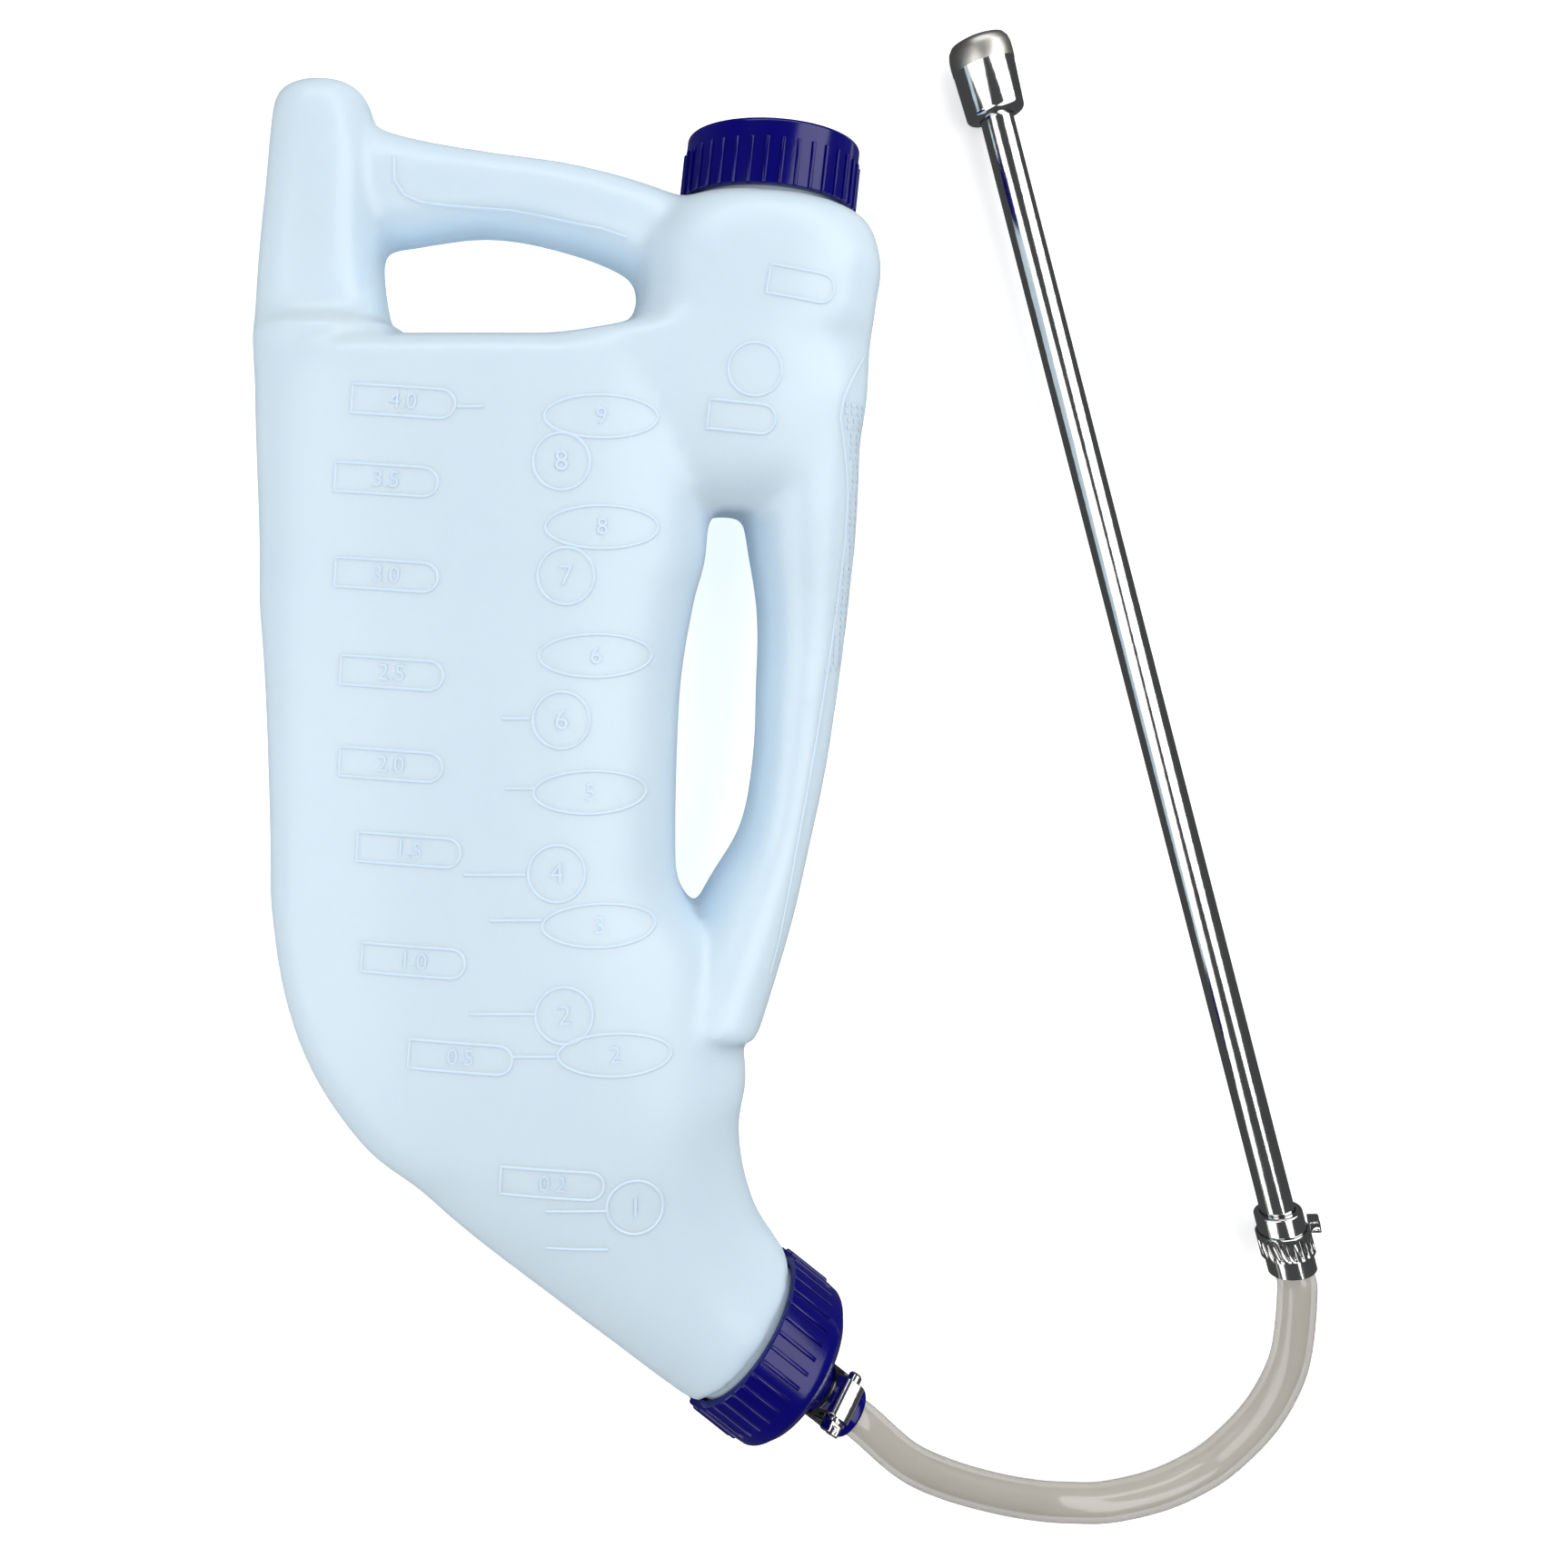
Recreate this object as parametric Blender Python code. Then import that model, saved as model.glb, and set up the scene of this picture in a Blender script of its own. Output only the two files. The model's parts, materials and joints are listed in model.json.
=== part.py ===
"""Calf drencher: a blow-moulded feeding bottle with a hose and a steel probe, lying on its back.

Metres. The bottle's flat back panel lies on z = 0, the fill cap points to +Y,
and the front with the scale faces +Z.
"""

import math

import bmesh
import bpy
from mathutils import Matrix, Vector

# Bottle
MID_HEIGHT = 0.044
TANK_HALF_DEPTH = 0.0448
TOWER_HALF_DEPTH = 0.0418
COLUMN_HALF_DEPTH = 0.0300
GRIP_HALF_DEPTH = 0.0200
WALL = 0.0024
VOXEL = 0.0048
BLEND_PASSES = 5
SHELL_TRIANGLE_SHARE = 0.12
CAVITY_TRIANGLE_SHARE = 0.085
SECTION_POINTS = 28
STEPS_PER_SPAN = 3
SHARP_ANGLE = 35.0

# Where the two necks stand: the middle of each shoulder and the way the neck points
FILL_NECK_X = 0.1104
FILL_NECK_Y = 0.1798
FILL_NECK_HEADING = 84.0
OUTLET_NECK_X = 0.1002
OUTLET_NECK_Y = -0.2380
OUTLET_NECK_HEADING = -38.5

# Necks and their threads
NECK_RADIUS = 0.0272
NECK_BORE_RADIUS = 0.0246
NECK_HEIGHT = 0.0200
NECK_ROOT = 0.0110
SHOULDER = 0.0038
THREAD_LEAD = 0.0050
THREAD_TURNS = 1.5
THREAD_START = 0.0042
THREAD_HEIGHT = 0.0012
THREAD_FOOT_WIDTH = 0.0022
THREAD_CREST_WIDTH = 0.0010
THREAD_OVERLAP = 0.0004
THREAD_POINTS = 20
SMALL_POINTS = 24
WORM_POINTS = 12
THREAD_RADIAL_CLEARANCE = 0.0005

# Caps
CAP_WALL = 0.0031
CAP_LIFT = 0.0010
CAP_TOP = 0.0020
CAP_EDGE = 0.0016
RIB_COUNT = 36
RIB_HEIGHT = 0.0009
RIB_LENGTH = 0.0166
SEAL_THICKNESS = 0.0019
SEAL_SIDE_CLEARANCE = 0.0006
GASKET_HOLE_RADIUS = 0.0190
ROUND_POINTS = 36
GAP = 0.0003

# Outlet spout
CONE_EDGE_RADIUS = 0.0276
CONE_EDGE_RISE = 0.0026
CONE_RISE = 0.0066
CONE_WALL = 0.0022
SPOUT_WALL = 0.0018
SPOUT_END = 0.0530
SPOUT_LIP = 0.0006
SPOUT_BORE_RADIUS = 0.0055
HOSE_SEAT = 0.0390

# Hose
HOSE_RADIUS = 0.00715
HOSE_ROUND_POINTS = 8
HOSE_POINTS = 34

# Probe
PROBE_TIP_X = 0.1984
PROBE_TIP_Y = 0.2567
PROBE_HEADING = -75.87
PROBE_RISE = 0.76
TUBE_RADIUS = 0.00635
TUBE_WALL = 0.0011
PROBE_LENGTH = 0.5010
HEAD_RADIUS = 0.0122
HEAD_FOOT_RADIUS = 0.0110
HEAD_LENGTH = 0.0320
HEAD_FOOT_EDGE = 0.0018
HEAD_MOUTH_RADIUS = 0.0068
HEAD_MOUTH_LIP = 0.0030
HEAD_FUNNEL = 0.0080
HEAD_TUBE_DEPTH = 0.0160
FERRULE_LENGTH = 0.0240
FERRULE_WALL = 0.00145
FERRULE_LIP = 0.0020
TUBE_END_INSIDE = 0.0085

# Hose clamps
BAND_WIDTH = 0.0096
BAND_THICKNESS = 0.0008
BAND_SLOTS = 8
BAND_SLOT_STEP = 15.0
BAND_FIRST_SLOT = 60.0
BAND_SLOT_LENGTH = 0.0058
BAND_SLOT_WIDTH = 0.0011
BAND_SLOT_LEAN = 14.0
SPOUT_BAND_START = 0.0375
FERRULE_BAND_START = 0.0076
HOUSING_LENGTH = 0.0135
HOUSING_WIDTH = 0.0088
HOUSING_WALL = 0.0009
HOUSING_ROUNDING = 0.0026
SCREW_RADIUS = 0.0024
SCREW_THREAD_HEIGHT = 0.0005
SCREW_THREAD_LEAD = 0.0032
SCREW_THREAD_FOOT = 0.0019
SCREW_THREAD_CREST = 0.0008
SCREW_TAIL = 0.0034
SCREW_NECK = 0.0008
SCREW_HEAD_RADIUS = 0.0040
SCREW_HEAD_LENGTH = 0.0048
SCREW_SLOT_WIDTH = 0.0010
SCREW_SLOT_DEPTH = 0.0016
SPOUT_CLAMP_TURN = 63.0
FERRULE_CLAMP_TURN = -62.0

# The probe head's nose: how far in from its full radius, and how far from the tip
HEAD_NOSE = [(0.0042, 0), (0.0018, 0.0008), (0.0004, 0.0028), (0, 0.0062), (0, 0.0110)]

# Each station of a hollow form: x, y, heading in degrees, half width, half depth, squareness
TANK = [
    (0.0030, 0.1285, -90, 0.0680, TANK_HALF_DEPTH - 0.0120, 3.0),
    (0.0040, 0.1250, -90, 0.0780, TANK_HALF_DEPTH - 0.0040, 3.4),
    (0.0045, 0.1155, -90, 0.0830, TANK_HALF_DEPTH, 3.6),
    (0.0051, 0.0546, -90, 0.0820, TANK_HALF_DEPTH, 3.6),
    (0.0028, 0.0340, -90, 0.0797, TANK_HALF_DEPTH, 3.6),
    (0.0013, 0.0000, -90, 0.0759, TANK_HALF_DEPTH, 3.6),
    (0.0014, -0.0550, -90, 0.0742, TANK_HALF_DEPTH, 3.6),
    (0.0026, -0.0740, -89, 0.0754, TANK_HALF_DEPTH, 3.5),
    (0.0118, -0.1020, -85, 0.0802, TANK_HALF_DEPTH, 3.4),
    (0.0200, -0.1273, -82, 0.0785, TANK_HALF_DEPTH, 3.2),
    (0.0310, -0.1517, -80, 0.0720, TANK_HALF_DEPTH - 0.0010, 3.0),
    (0.0389, -0.1653, -78, 0.0624, TANK_HALF_DEPTH - 0.0020, 2.8),
    (0.0451, -0.1757, -75, 0.0561, TANK_HALF_DEPTH - 0.0035, 2.7),
    (0.0618, -0.1970, -64, 0.0441, TANK_HALF_DEPTH - 0.0075, 2.4),
    (0.0781, -0.2163, -53, 0.0360, TANK_HALF_DEPTH - 0.0110, 2.2),
    (0.0912, -0.2294, -43, 0.0330, TANK_HALF_DEPTH - 0.0128, 2.0),
]
TOWER = [
    (0.0970, 0.0660, 90, 0.0380, TOWER_HALF_DEPTH - 0.0170, 2.8),
    (0.0958, 0.0780, 90, 0.0440, TOWER_HALF_DEPTH - 0.0060, 3.0),
    (0.0950, 0.1020, 90, 0.0500, TOWER_HALF_DEPTH, 3.2),
    (0.0800, 0.1245, 90, 0.0668, TOWER_HALF_DEPTH, 3.2),
    (0.0917, 0.1303, 90, 0.0557, TOWER_HALF_DEPTH, 3.2),
    (0.0978, 0.1323, 90, 0.0498, TOWER_HALF_DEPTH, 3.2),
    (0.1023, 0.1350, 90, 0.0457, TOWER_HALF_DEPTH, 3.2),
    (0.1044, 0.1400, 89, 0.0441, TOWER_HALF_DEPTH, 3.1),
    (0.1059, 0.1480, 88, 0.0440, TOWER_HALF_DEPTH, 3.0),
    (0.1059, 0.1550, 87, 0.0452, TOWER_HALF_DEPTH, 3.0),
    (0.1084, 0.1670, 84, 0.0420, TOWER_HALF_DEPTH - 0.0020, 2.7),
    (0.1098, 0.1750, 84, 0.0380, TOWER_HALF_DEPTH - 0.0050, 2.4),
]
COLUMN = [
    (-0.0552, 0.0950, 90, 0.0230, COLUMN_HALF_DEPTH, 3.0),
    (-0.0512, 0.1290, 90, 0.0285, COLUMN_HALF_DEPTH + 0.0080, 3.0),
    (-0.0536, 0.1335, 90, 0.0260, COLUMN_HALF_DEPTH + 0.0040, 3.0),
    (-0.0553, 0.1395, 90, 0.0241, COLUMN_HALF_DEPTH, 3.0),
    (-0.0560, 0.1600, 90, 0.0220, COLUMN_HALF_DEPTH, 3.0),
    (-0.0548, 0.1880, 91, 0.0206, COLUMN_HALF_DEPTH, 2.8),
    (-0.0552, 0.2130, 91, 0.0182, COLUMN_HALF_DEPTH - 0.0020, 2.6),
    (-0.0550, 0.2212, 90, 0.0158, COLUMN_HALF_DEPTH - 0.0060, 2.4),
    (-0.0515, 0.2238, 90, 0.0088, COLUMN_HALF_DEPTH - 0.0130, 2.2),
]
TOP_GRIP = [
    (-0.0560, 0.1910, 0, 0.0260, GRIP_HALF_DEPTH, 2.8),
    (-0.0285, 0.1862, -6, 0.0205, GRIP_HALF_DEPTH, 2.8),
    (0.0050, 0.1853, -4, 0.0148, GRIP_HALF_DEPTH, 2.8),
    (0.0350, 0.1808, -11, 0.0150, GRIP_HALF_DEPTH, 2.8),
    (0.0640, 0.1712, -22, 0.0160, GRIP_HALF_DEPTH + 0.0030, 2.8),
    (0.0950, 0.1530, -30, 0.0200, GRIP_HALF_DEPTH + 0.0060, 2.8),
]
SIDE_GRIP = [
    (0.1224, 0.1100, -90, 0.0210, GRIP_HALF_DEPTH + 0.0200, 2.6),
    (0.1225, 0.0650, -90, 0.0200, GRIP_HALF_DEPTH + 0.0145, 2.5),
    (0.1234, 0.0300, -91, 0.0162, GRIP_HALF_DEPTH + 0.0080, 2.4),
    (0.1213, 0.0000, -95, 0.0145, GRIP_HALF_DEPTH + 0.0055, 2.4),
    (0.1186, -0.0270, -99, 0.0130, GRIP_HALF_DEPTH + 0.0045, 2.4),
    (0.1130, -0.0550, -104, 0.0126, GRIP_HALF_DEPTH + 0.0050, 2.4),
    (0.1024, -0.0820, -108, 0.0165, GRIP_HALF_DEPTH + 0.0100, 2.5),
    (0.0883, -0.1200, -112, 0.0180, GRIP_HALF_DEPTH + 0.0180, 2.6),
]

# The hose's way from the spout to the ferrule, between its two straight ends
HOSE_WAY = [
    (0.1636, -0.2914, 0.0395),
    (0.1800, -0.3036, 0.0310),
    (0.2010, -0.3156, 0.0205),
    (0.2219, -0.3245, 0.0118),
    (0.2374, -0.3276, 0.0085),
    (0.2523, -0.3278, 0.0077),
    (0.2716, -0.3234, 0.0077),
    (0.2872, -0.3165, 0.0077),
    (0.2991, -0.3079, 0.0082),
    (0.3118, -0.2928, 0.0102),
    (0.3196, -0.2765, 0.0126),
    (0.3226, -0.2607, 0.0152),
]

# Finishes: colour, roughness, metallic
MILKY_PLASTIC = ((0.80, 0.86, 0.90, 1), 0.45, 0.0)
NAVY_PLASTIC = ((0.010, 0.010, 0.16, 1), 0.25, 0.0)
WHITE_FOAM = ((0.85, 0.85, 0.82, 1), 0.8, 0.0)
BLACK_RUBBER = ((0.03, 0.03, 0.03, 1), 0.7, 0.0)
CLEAR_HOSE = ((0.80, 0.76, 0.70, 1), 0.2, 0.0)
STEEL = ((0.62, 0.62, 0.60, 1), 0.2, 1.0)


def direction(degrees):
    """The level unit vector at that heading from +X."""
    angle = math.radians(degrees)
    return Vector((math.cos(angle), math.sin(angle), 0))


def axis_frame(point, heading, rise=0.0):
    """A frame with local Z along the heading, local X level and local Y towards the viewer."""
    slope = math.radians(rise)
    ahead = direction(heading) * math.cos(slope) + Vector((0, 0, math.sin(slope)))
    side = Vector((0, 0, 1)).cross(ahead).normalized()
    frame = Matrix((side, ahead.cross(side), ahead)).transposed().to_4x4()
    frame.translation = point
    return frame


FILL_AXIS = axis_frame(Vector((FILL_NECK_X, FILL_NECK_Y, MID_HEIGHT)), FILL_NECK_HEADING)
OUTLET_AXIS = axis_frame(Vector((OUTLET_NECK_X, OUTLET_NECK_Y, MID_HEIGHT)), OUTLET_NECK_HEADING)
PROBE_AXIS = axis_frame(Vector((PROBE_TIP_X, PROBE_TIP_Y, HEAD_RADIUS)), PROBE_HEADING, PROBE_RISE)

CREST_RADIUS = NECK_RADIUS + THREAD_HEIGHT
CAP_BORE_RADIUS = CREST_RADIUS + THREAD_RADIAL_CLEARANCE
CAP_THREAD_RADIUS = NECK_RADIUS + THREAD_RADIAL_CLEARANCE
CAP_RADIUS = CAP_BORE_RADIUS + CAP_WALL
CAP_INSIDE = NECK_HEIGHT + GAP + SEAL_THICKNESS + GAP
CAP_HEIGHT = CAP_INSIDE + CAP_TOP
SEAL_RADIUS = CAP_BORE_RADIUS - SEAL_SIDE_CLEARANCE
CAP_TRAVEL = THREAD_LEAD * THREAD_TURNS
SPOUT_RADIUS = HOSE_RADIUS + GAP + SPOUT_WALL
FERRULE_INNER_RADIUS = HOSE_RADIUS + GAP
FERRULE_RADIUS = FERRULE_INNER_RADIUS + FERRULE_WALL
FERRULE_START = PROBE_LENGTH - FERRULE_LENGTH


def clear_scene():
    for thing in list(bpy.data.objects):
        bpy.data.objects.remove(thing)


def finish_material(name, finish):
    colour, roughness, metallic = finish
    made = bpy.data.materials.new(name)
    made.use_nodes = True
    shader = made.node_tree.nodes["Principled BSDF"]
    shader.inputs["Base Color"].default_value = colour
    shader.inputs["Roughness"].default_value = roughness
    shader.inputs["Metallic"].default_value = metallic
    return made


def add_piece(name, shape, finish=None, frame=None):
    """Turns a bmesh into a scene object; without a finish it is a cutter or a guide."""
    mesh = bpy.data.meshes.new(name)
    bmesh.ops.recalc_face_normals(shape, faces=shape.faces)
    bmesh.ops.triangulate(shape, faces=shape.faces)
    shape.to_mesh(mesh)
    shape.free()
    piece = bpy.data.objects.new(name, mesh)
    bpy.context.collection.objects.link(piece)
    if frame is not None:
        piece.matrix_world = frame
    if finish is None:
        piece.hide_render = True
        piece.display_type = "WIRE"
    else:
        mesh.materials.append(finish_material(name, finish))
        mesh.shade_smooth()
        mesh.set_sharp_from_angle(angle=math.radians(SHARP_ANGLE))
    return piece


def boolean(piece, cutter, operation):
    step = piece.modifiers.new(cutter.name, "BOOLEAN")
    step.operation = operation
    step.object = cutter
    return step


def stack(rings):
    """A closed solid through rings that have equally many points."""
    shape = bmesh.new()
    place = shape.verts.layers.int.new("place")
    circle = bmesh.ops.create_circle(shape, cap_ends=True, radius=1, segments=len(rings[0]))
    for index, vert in enumerate(circle["verts"]):
        vert[place] = index
        vert.co = rings[0][index]
    shape.faces.ensure_lookup_table()
    face = shape.faces[0]
    for ring in rings[1:]:
        cap = [face] + list(face.edges) + list(face.verts)
        made = bmesh.ops.extrude_face_region(shape, geom=cap)["geom"]
        for item in made:
            if isinstance(item, bmesh.types.BMVert):
                item.co = ring[item[place]]
            elif isinstance(item, bmesh.types.BMFace):
                face = item
    return shape


def circle_ring(radius, height, points=ROUND_POINTS):
    """Points round local Z."""
    step = 2 * math.pi / points
    turns = [(math.cos(step * index), math.sin(step * index)) for index in range(points)]
    return [Vector((radius * across, radius * up, height)) for across, up in turns]


def turned(profile, points=ROUND_POINTS):
    """A solid of revolution round local Z, through (radius, height) pairs from one end to the other."""
    return stack([circle_ring(radius, height, points) for radius, height in profile])


def tube(inner, outer, start, end, points=ROUND_POINTS):
    """A plain pipe round local Z."""
    shape = bmesh.new()
    corners = [(inner, start), (outer, start), (outer, end), (inner, end)]
    verts = [shape.verts.new((radius, 0, height)) for radius, height in corners]
    edges = [shape.edges.new((verts[i], verts[(i + 1) % 4])) for i in range(4)]
    bmesh.ops.spin(shape, geom=verts + edges, cent=(0, 0, 0), axis=(0, 0, 1),
                   angle=2 * math.pi, steps=points, use_merge=True, use_duplicate=False)
    bmesh.ops.remove_doubles(shape, verts=shape.verts, dist=1e-6)
    return shape


def thread_ridge(foot_radius, crest_radius, foot_width, crest_width, lead, turns, start, per_turn):
    """A screw thread's ridge round local Z, from its foot to its crest, with flat ends."""
    shape = bmesh.new()
    corners = [
        (foot_radius, start - foot_width / 2),
        (crest_radius, start - crest_width / 2),
        (crest_radius, start + crest_width / 2),
        (foot_radius, start + foot_width / 2),
    ]
    verts = [shape.verts.new((radius, 0, height)) for radius, height in corners]
    edges = [shape.edges.new((verts[i], verts[(i + 1) % 4])) for i in range(4)]
    steps = round(turns * per_turn)
    bmesh.ops.spin(shape, geom=verts + edges, cent=(0, 0, 0), axis=(0, 0, 1),
                   dvec=(0, 0, lead * turns / steps), angle=2 * math.pi * turns, steps=steps,
                   use_merge=False, use_duplicate=False)
    bmesh.ops.holes_fill(shape, edges=[edge for edge in shape.edges if edge.is_boundary], sides=4)
    off_the_wall_edges = Matrix.Rotation(math.pi / (2 * per_turn), 3, "Z")
    bmesh.ops.rotate(shape, verts=shape.verts, cent=(0, 0, 0), matrix=off_the_wall_edges)
    return shape


def neck_thread(foot_radius, crest_radius, start):
    """The thread that a neck and its cap share, standing out of the neck or into the cap."""
    return thread_ridge(foot_radius, crest_radius, THREAD_FOOT_WIDTH, THREAD_CREST_WIDTH,
                        THREAD_LEAD, THREAD_TURNS, start, THREAD_POINTS)


def join(*shapes):
    """One bmesh that holds all of them."""
    whole = bmesh.new()
    for shape in shapes:
        part = bpy.data.meshes.new("part")
        shape.to_mesh(part)
        whole.from_mesh(part)
        bpy.data.meshes.remove(part)
        shape.free()
    return whole


def smooth_value(values, at):
    """A Catmull-Rom curve through the values, with one span between neighbours."""
    span = min(int(at), len(values) - 2)
    t = at - span
    before = values[max(span - 1, 0)]
    here = values[span]
    after = values[span + 1]
    beyond = values[min(span + 2, len(values) - 1)]
    return 0.5 * (2 * here + (after - before) * t
                  + (2 * before - 5 * here + 4 * after - beyond) * t * t
                  + (3 * here - before - 3 * after + beyond) * t * t * t)


def section(station, inset):
    """The rounded outline of a hollow form at one station, drawn in by the inset."""
    x, y, heading, half_width, half_depth, squareness = station
    side = direction(heading - 90)
    ring = []
    for index in range(SECTION_POINTS):
        angle = 2 * math.pi * (index + 0.5) / SECTION_POINTS
        across = math.copysign(abs(math.cos(angle)) ** (2 / squareness), math.cos(angle))
        out = math.copysign(abs(math.sin(angle)) ** (2 / squareness), math.sin(angle))
        middle = Vector((x, y, MID_HEIGHT))
        reach = side * across * (half_width - inset)
        ring.append(middle + reach + Vector((0, 0, out * (half_depth - inset))))
    return ring


def hollow_form(stations, inset=0.0):
    """A smooth solid through the stations; the inset makes it smaller all over."""
    rings = []
    last = len(stations) - 1
    columns = list(zip(*stations))
    for step in range(last * STEPS_PER_SPAN + 1):
        at = step / STEPS_PER_SPAN
        station = [smooth_value(values, at) for values in columns]
        ahead = direction(station[2]) * inset
        if step == 0:
            station[0] += ahead.x
            station[1] += ahead.y
        if step == last * STEPS_PER_SPAN:
            station[0] -= ahead.x
            station[1] -= ahead.y
        rings.append(section(station, inset))
    return stack(rings)


def bottle_forms(inset):
    """The tank, tower, column and two grips, each reaching into its neighbours."""
    wide = NECK_RADIUS + SHOULDER
    outlet = (OUTLET_NECK_X, OUTLET_NECK_Y, OUTLET_NECK_HEADING, wide, wide, 2.0)
    fill = (FILL_NECK_X, FILL_NECK_Y, FILL_NECK_HEADING, wide, wide, 2.0)
    return join(
        hollow_form(TANK + [outlet], inset),
        hollow_form(TOWER + [fill], inset),
        hollow_form(COLUMN, inset),
        hollow_form(TOP_GRIP, inset),
        hollow_form(SIDE_GRIP, inset),
    )


def blend_forms(piece, share):
    """Melts overlapping forms into one skin, rounds where they meet and thins the mesh."""
    melt = piece.modifiers.new("melt", "REMESH")
    melt.mode = "VOXEL"
    melt.voxel_size = VOXEL
    relax = piece.modifiers.new("relax", "SMOOTH")
    relax.factor = 0.5
    relax.iterations = BLEND_PASSES
    thin = piece.modifiers.new("thin", "DECIMATE")
    thin.ratio = share


def make_bottle():
    bottle = add_piece("bottle", bottle_forms(0.0), MILKY_PLASTIC)
    blend_forms(bottle, SHELL_TRIANGLE_SHARE)
    cavity = add_piece("bottle_cavity", bottle_forms(WALL))
    blend_forms(cavity, CAVITY_TRIANGLE_SHARE)
    for name, frame in (("fill", FILL_AXIS), ("outlet", OUTLET_AXIS)):
        neck = turned([(NECK_RADIUS, -NECK_ROOT), (NECK_RADIUS, NECK_HEIGHT)])
        boolean(bottle, add_piece(name + "_neck", neck, frame=frame), "UNION")
        ridge = neck_thread(NECK_RADIUS - THREAD_OVERLAP, CREST_RADIUS, THREAD_START)
        boolean(bottle, add_piece(name + "_neck_thread", ridge, frame=frame), "UNION")
    boolean(bottle, cavity, "DIFFERENCE")
    for name, frame in (("fill", FILL_AXIS), ("outlet", OUTLET_AXIS)):
        bore = turned([(NECK_BORE_RADIUS, -2 * NECK_ROOT), (NECK_BORE_RADIUS, NECK_HEIGHT + WALL)])
        boolean(bottle, add_piece(name + "_neck_bore", bore, frame=frame), "DIFFERENCE")
    floor = bmesh.new()
    bmesh.ops.create_cube(floor, size=1)
    bmesh.ops.translate(floor, verts=floor.verts, vec=(0, 0, -0.5))
    boolean(bottle, add_piece("back_plane", floor), "DIFFERENCE")


def ribbed_ring(radius, height):
    """Points round local Z with a narrow ridge at each rib."""
    points = 2 * RIB_COUNT
    step = 2 * math.pi / points
    ring = []
    for index in range(points):
        reach = radius + RIB_HEIGHT if index % 2 == 0 else radius
        ring.append(Vector((reach * math.cos(step * index), reach * math.sin(step * index), height)))
    return ring


def cap_outside(top_rings):
    """The ribbed skirt with what stands on it."""
    points = 2 * RIB_COUNT
    rings = [
        ribbed_ring(CAP_RADIUS, CAP_LIFT),
        ribbed_ring(CAP_RADIUS, CAP_LIFT + RIB_LENGTH),
        circle_ring(CAP_RADIUS, CAP_LIFT + RIB_LENGTH + RIB_HEIGHT, points),
    ]
    rings += [circle_ring(radius, height, points) for radius, height in top_rings]
    return stack(rings)


def cut_cap_thread(cap, name, frame, inside):
    """Hollows the skirt and adds its thread, half a pitch from the neck's."""
    bore = turned([(CAP_BORE_RADIUS, 0), (CAP_BORE_RADIUS, inside)])
    boolean(cap, add_piece(name + "_bore", bore, frame=frame), "DIFFERENCE")
    ridge = neck_thread(CAP_BORE_RADIUS + THREAD_OVERLAP, CAP_THREAD_RADIUS, THREAD_START + THREAD_LEAD / 2)
    boolean(cap, add_piece(name + "_thread", ridge, frame=frame), "UNION")


def make_fill_cap():
    cap = add_piece("fill_cap", cap_outside([(CAP_RADIUS, CAP_HEIGHT - CAP_EDGE),
                                             (CAP_RADIUS - CAP_EDGE, CAP_HEIGHT)]), NAVY_PLASTIC, FILL_AXIS)
    cut_cap_thread(cap, "fill_cap", FILL_AXIS, CAP_INSIDE)
    seal = turned([(SEAL_RADIUS, NECK_HEIGHT + GAP), (SEAL_RADIUS, NECK_HEIGHT + GAP + SEAL_THICKNESS)])
    add_piece("fill_cap_seal", seal, WHITE_FOAM, FILL_AXIS)


def make_outlet_cap():
    cone_foot = CAP_HEIGHT + CONE_EDGE_RISE
    cone_tip = cone_foot + CONE_RISE
    lip_start = SPOUT_BAND_START + BAND_WIDTH + GAP
    outside = cap_outside([(CAP_RADIUS, CAP_HEIGHT - CAP_TOP)])
    cap = add_piece("outlet_cap", outside, NAVY_PLASTIC, OUTLET_AXIS)
    cone = turned([
        (CAP_RADIUS - CAP_WALL / 2, CAP_INSIDE - CAP_TOP),
        (CAP_RADIUS - CAP_WALL / 2, CAP_HEIGHT - CAP_TOP + GAP),
        (CAP_RADIUS - CAP_EDGE, CAP_HEIGHT),
        (CONE_EDGE_RADIUS, cone_foot),
        (SPOUT_RADIUS, cone_tip),
        (SPOUT_RADIUS, lip_start),
        (SPOUT_RADIUS + SPOUT_LIP, lip_start + SPOUT_LIP),
        (SPOUT_RADIUS + SPOUT_LIP, SPOUT_END - SPOUT_LIP),
        (SPOUT_RADIUS, SPOUT_END),
    ])
    boolean(cap, add_piece("outlet_cap_cone", cone, frame=OUTLET_AXIS), "UNION")
    cut_cap_thread(cap, "outlet_cap", OUTLET_AXIS, CAP_INSIDE)
    way = turned([
        (GASKET_HOLE_RADIUS, CAP_INSIDE - GAP),
        (GASKET_HOLE_RADIUS, cone_foot - CONE_WALL / 2),
        (SPOUT_BORE_RADIUS, cone_tip - CONE_WALL),
        (SPOUT_BORE_RADIUS, HOSE_SEAT),
        (HOSE_RADIUS + GAP, HOSE_SEAT + GAP),
        (HOSE_RADIUS + GAP, SPOUT_END + GAP),
    ])
    boolean(cap, add_piece("outlet_cap_way", way, frame=OUTLET_AXIS), "DIFFERENCE")
    start = NECK_HEIGHT + GAP
    gasket = tube(GASKET_HOLE_RADIUS, SEAL_RADIUS, start, start + SEAL_THICKNESS)
    add_piece("outlet_gasket", gasket, BLACK_RUBBER, OUTLET_AXIS)


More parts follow.
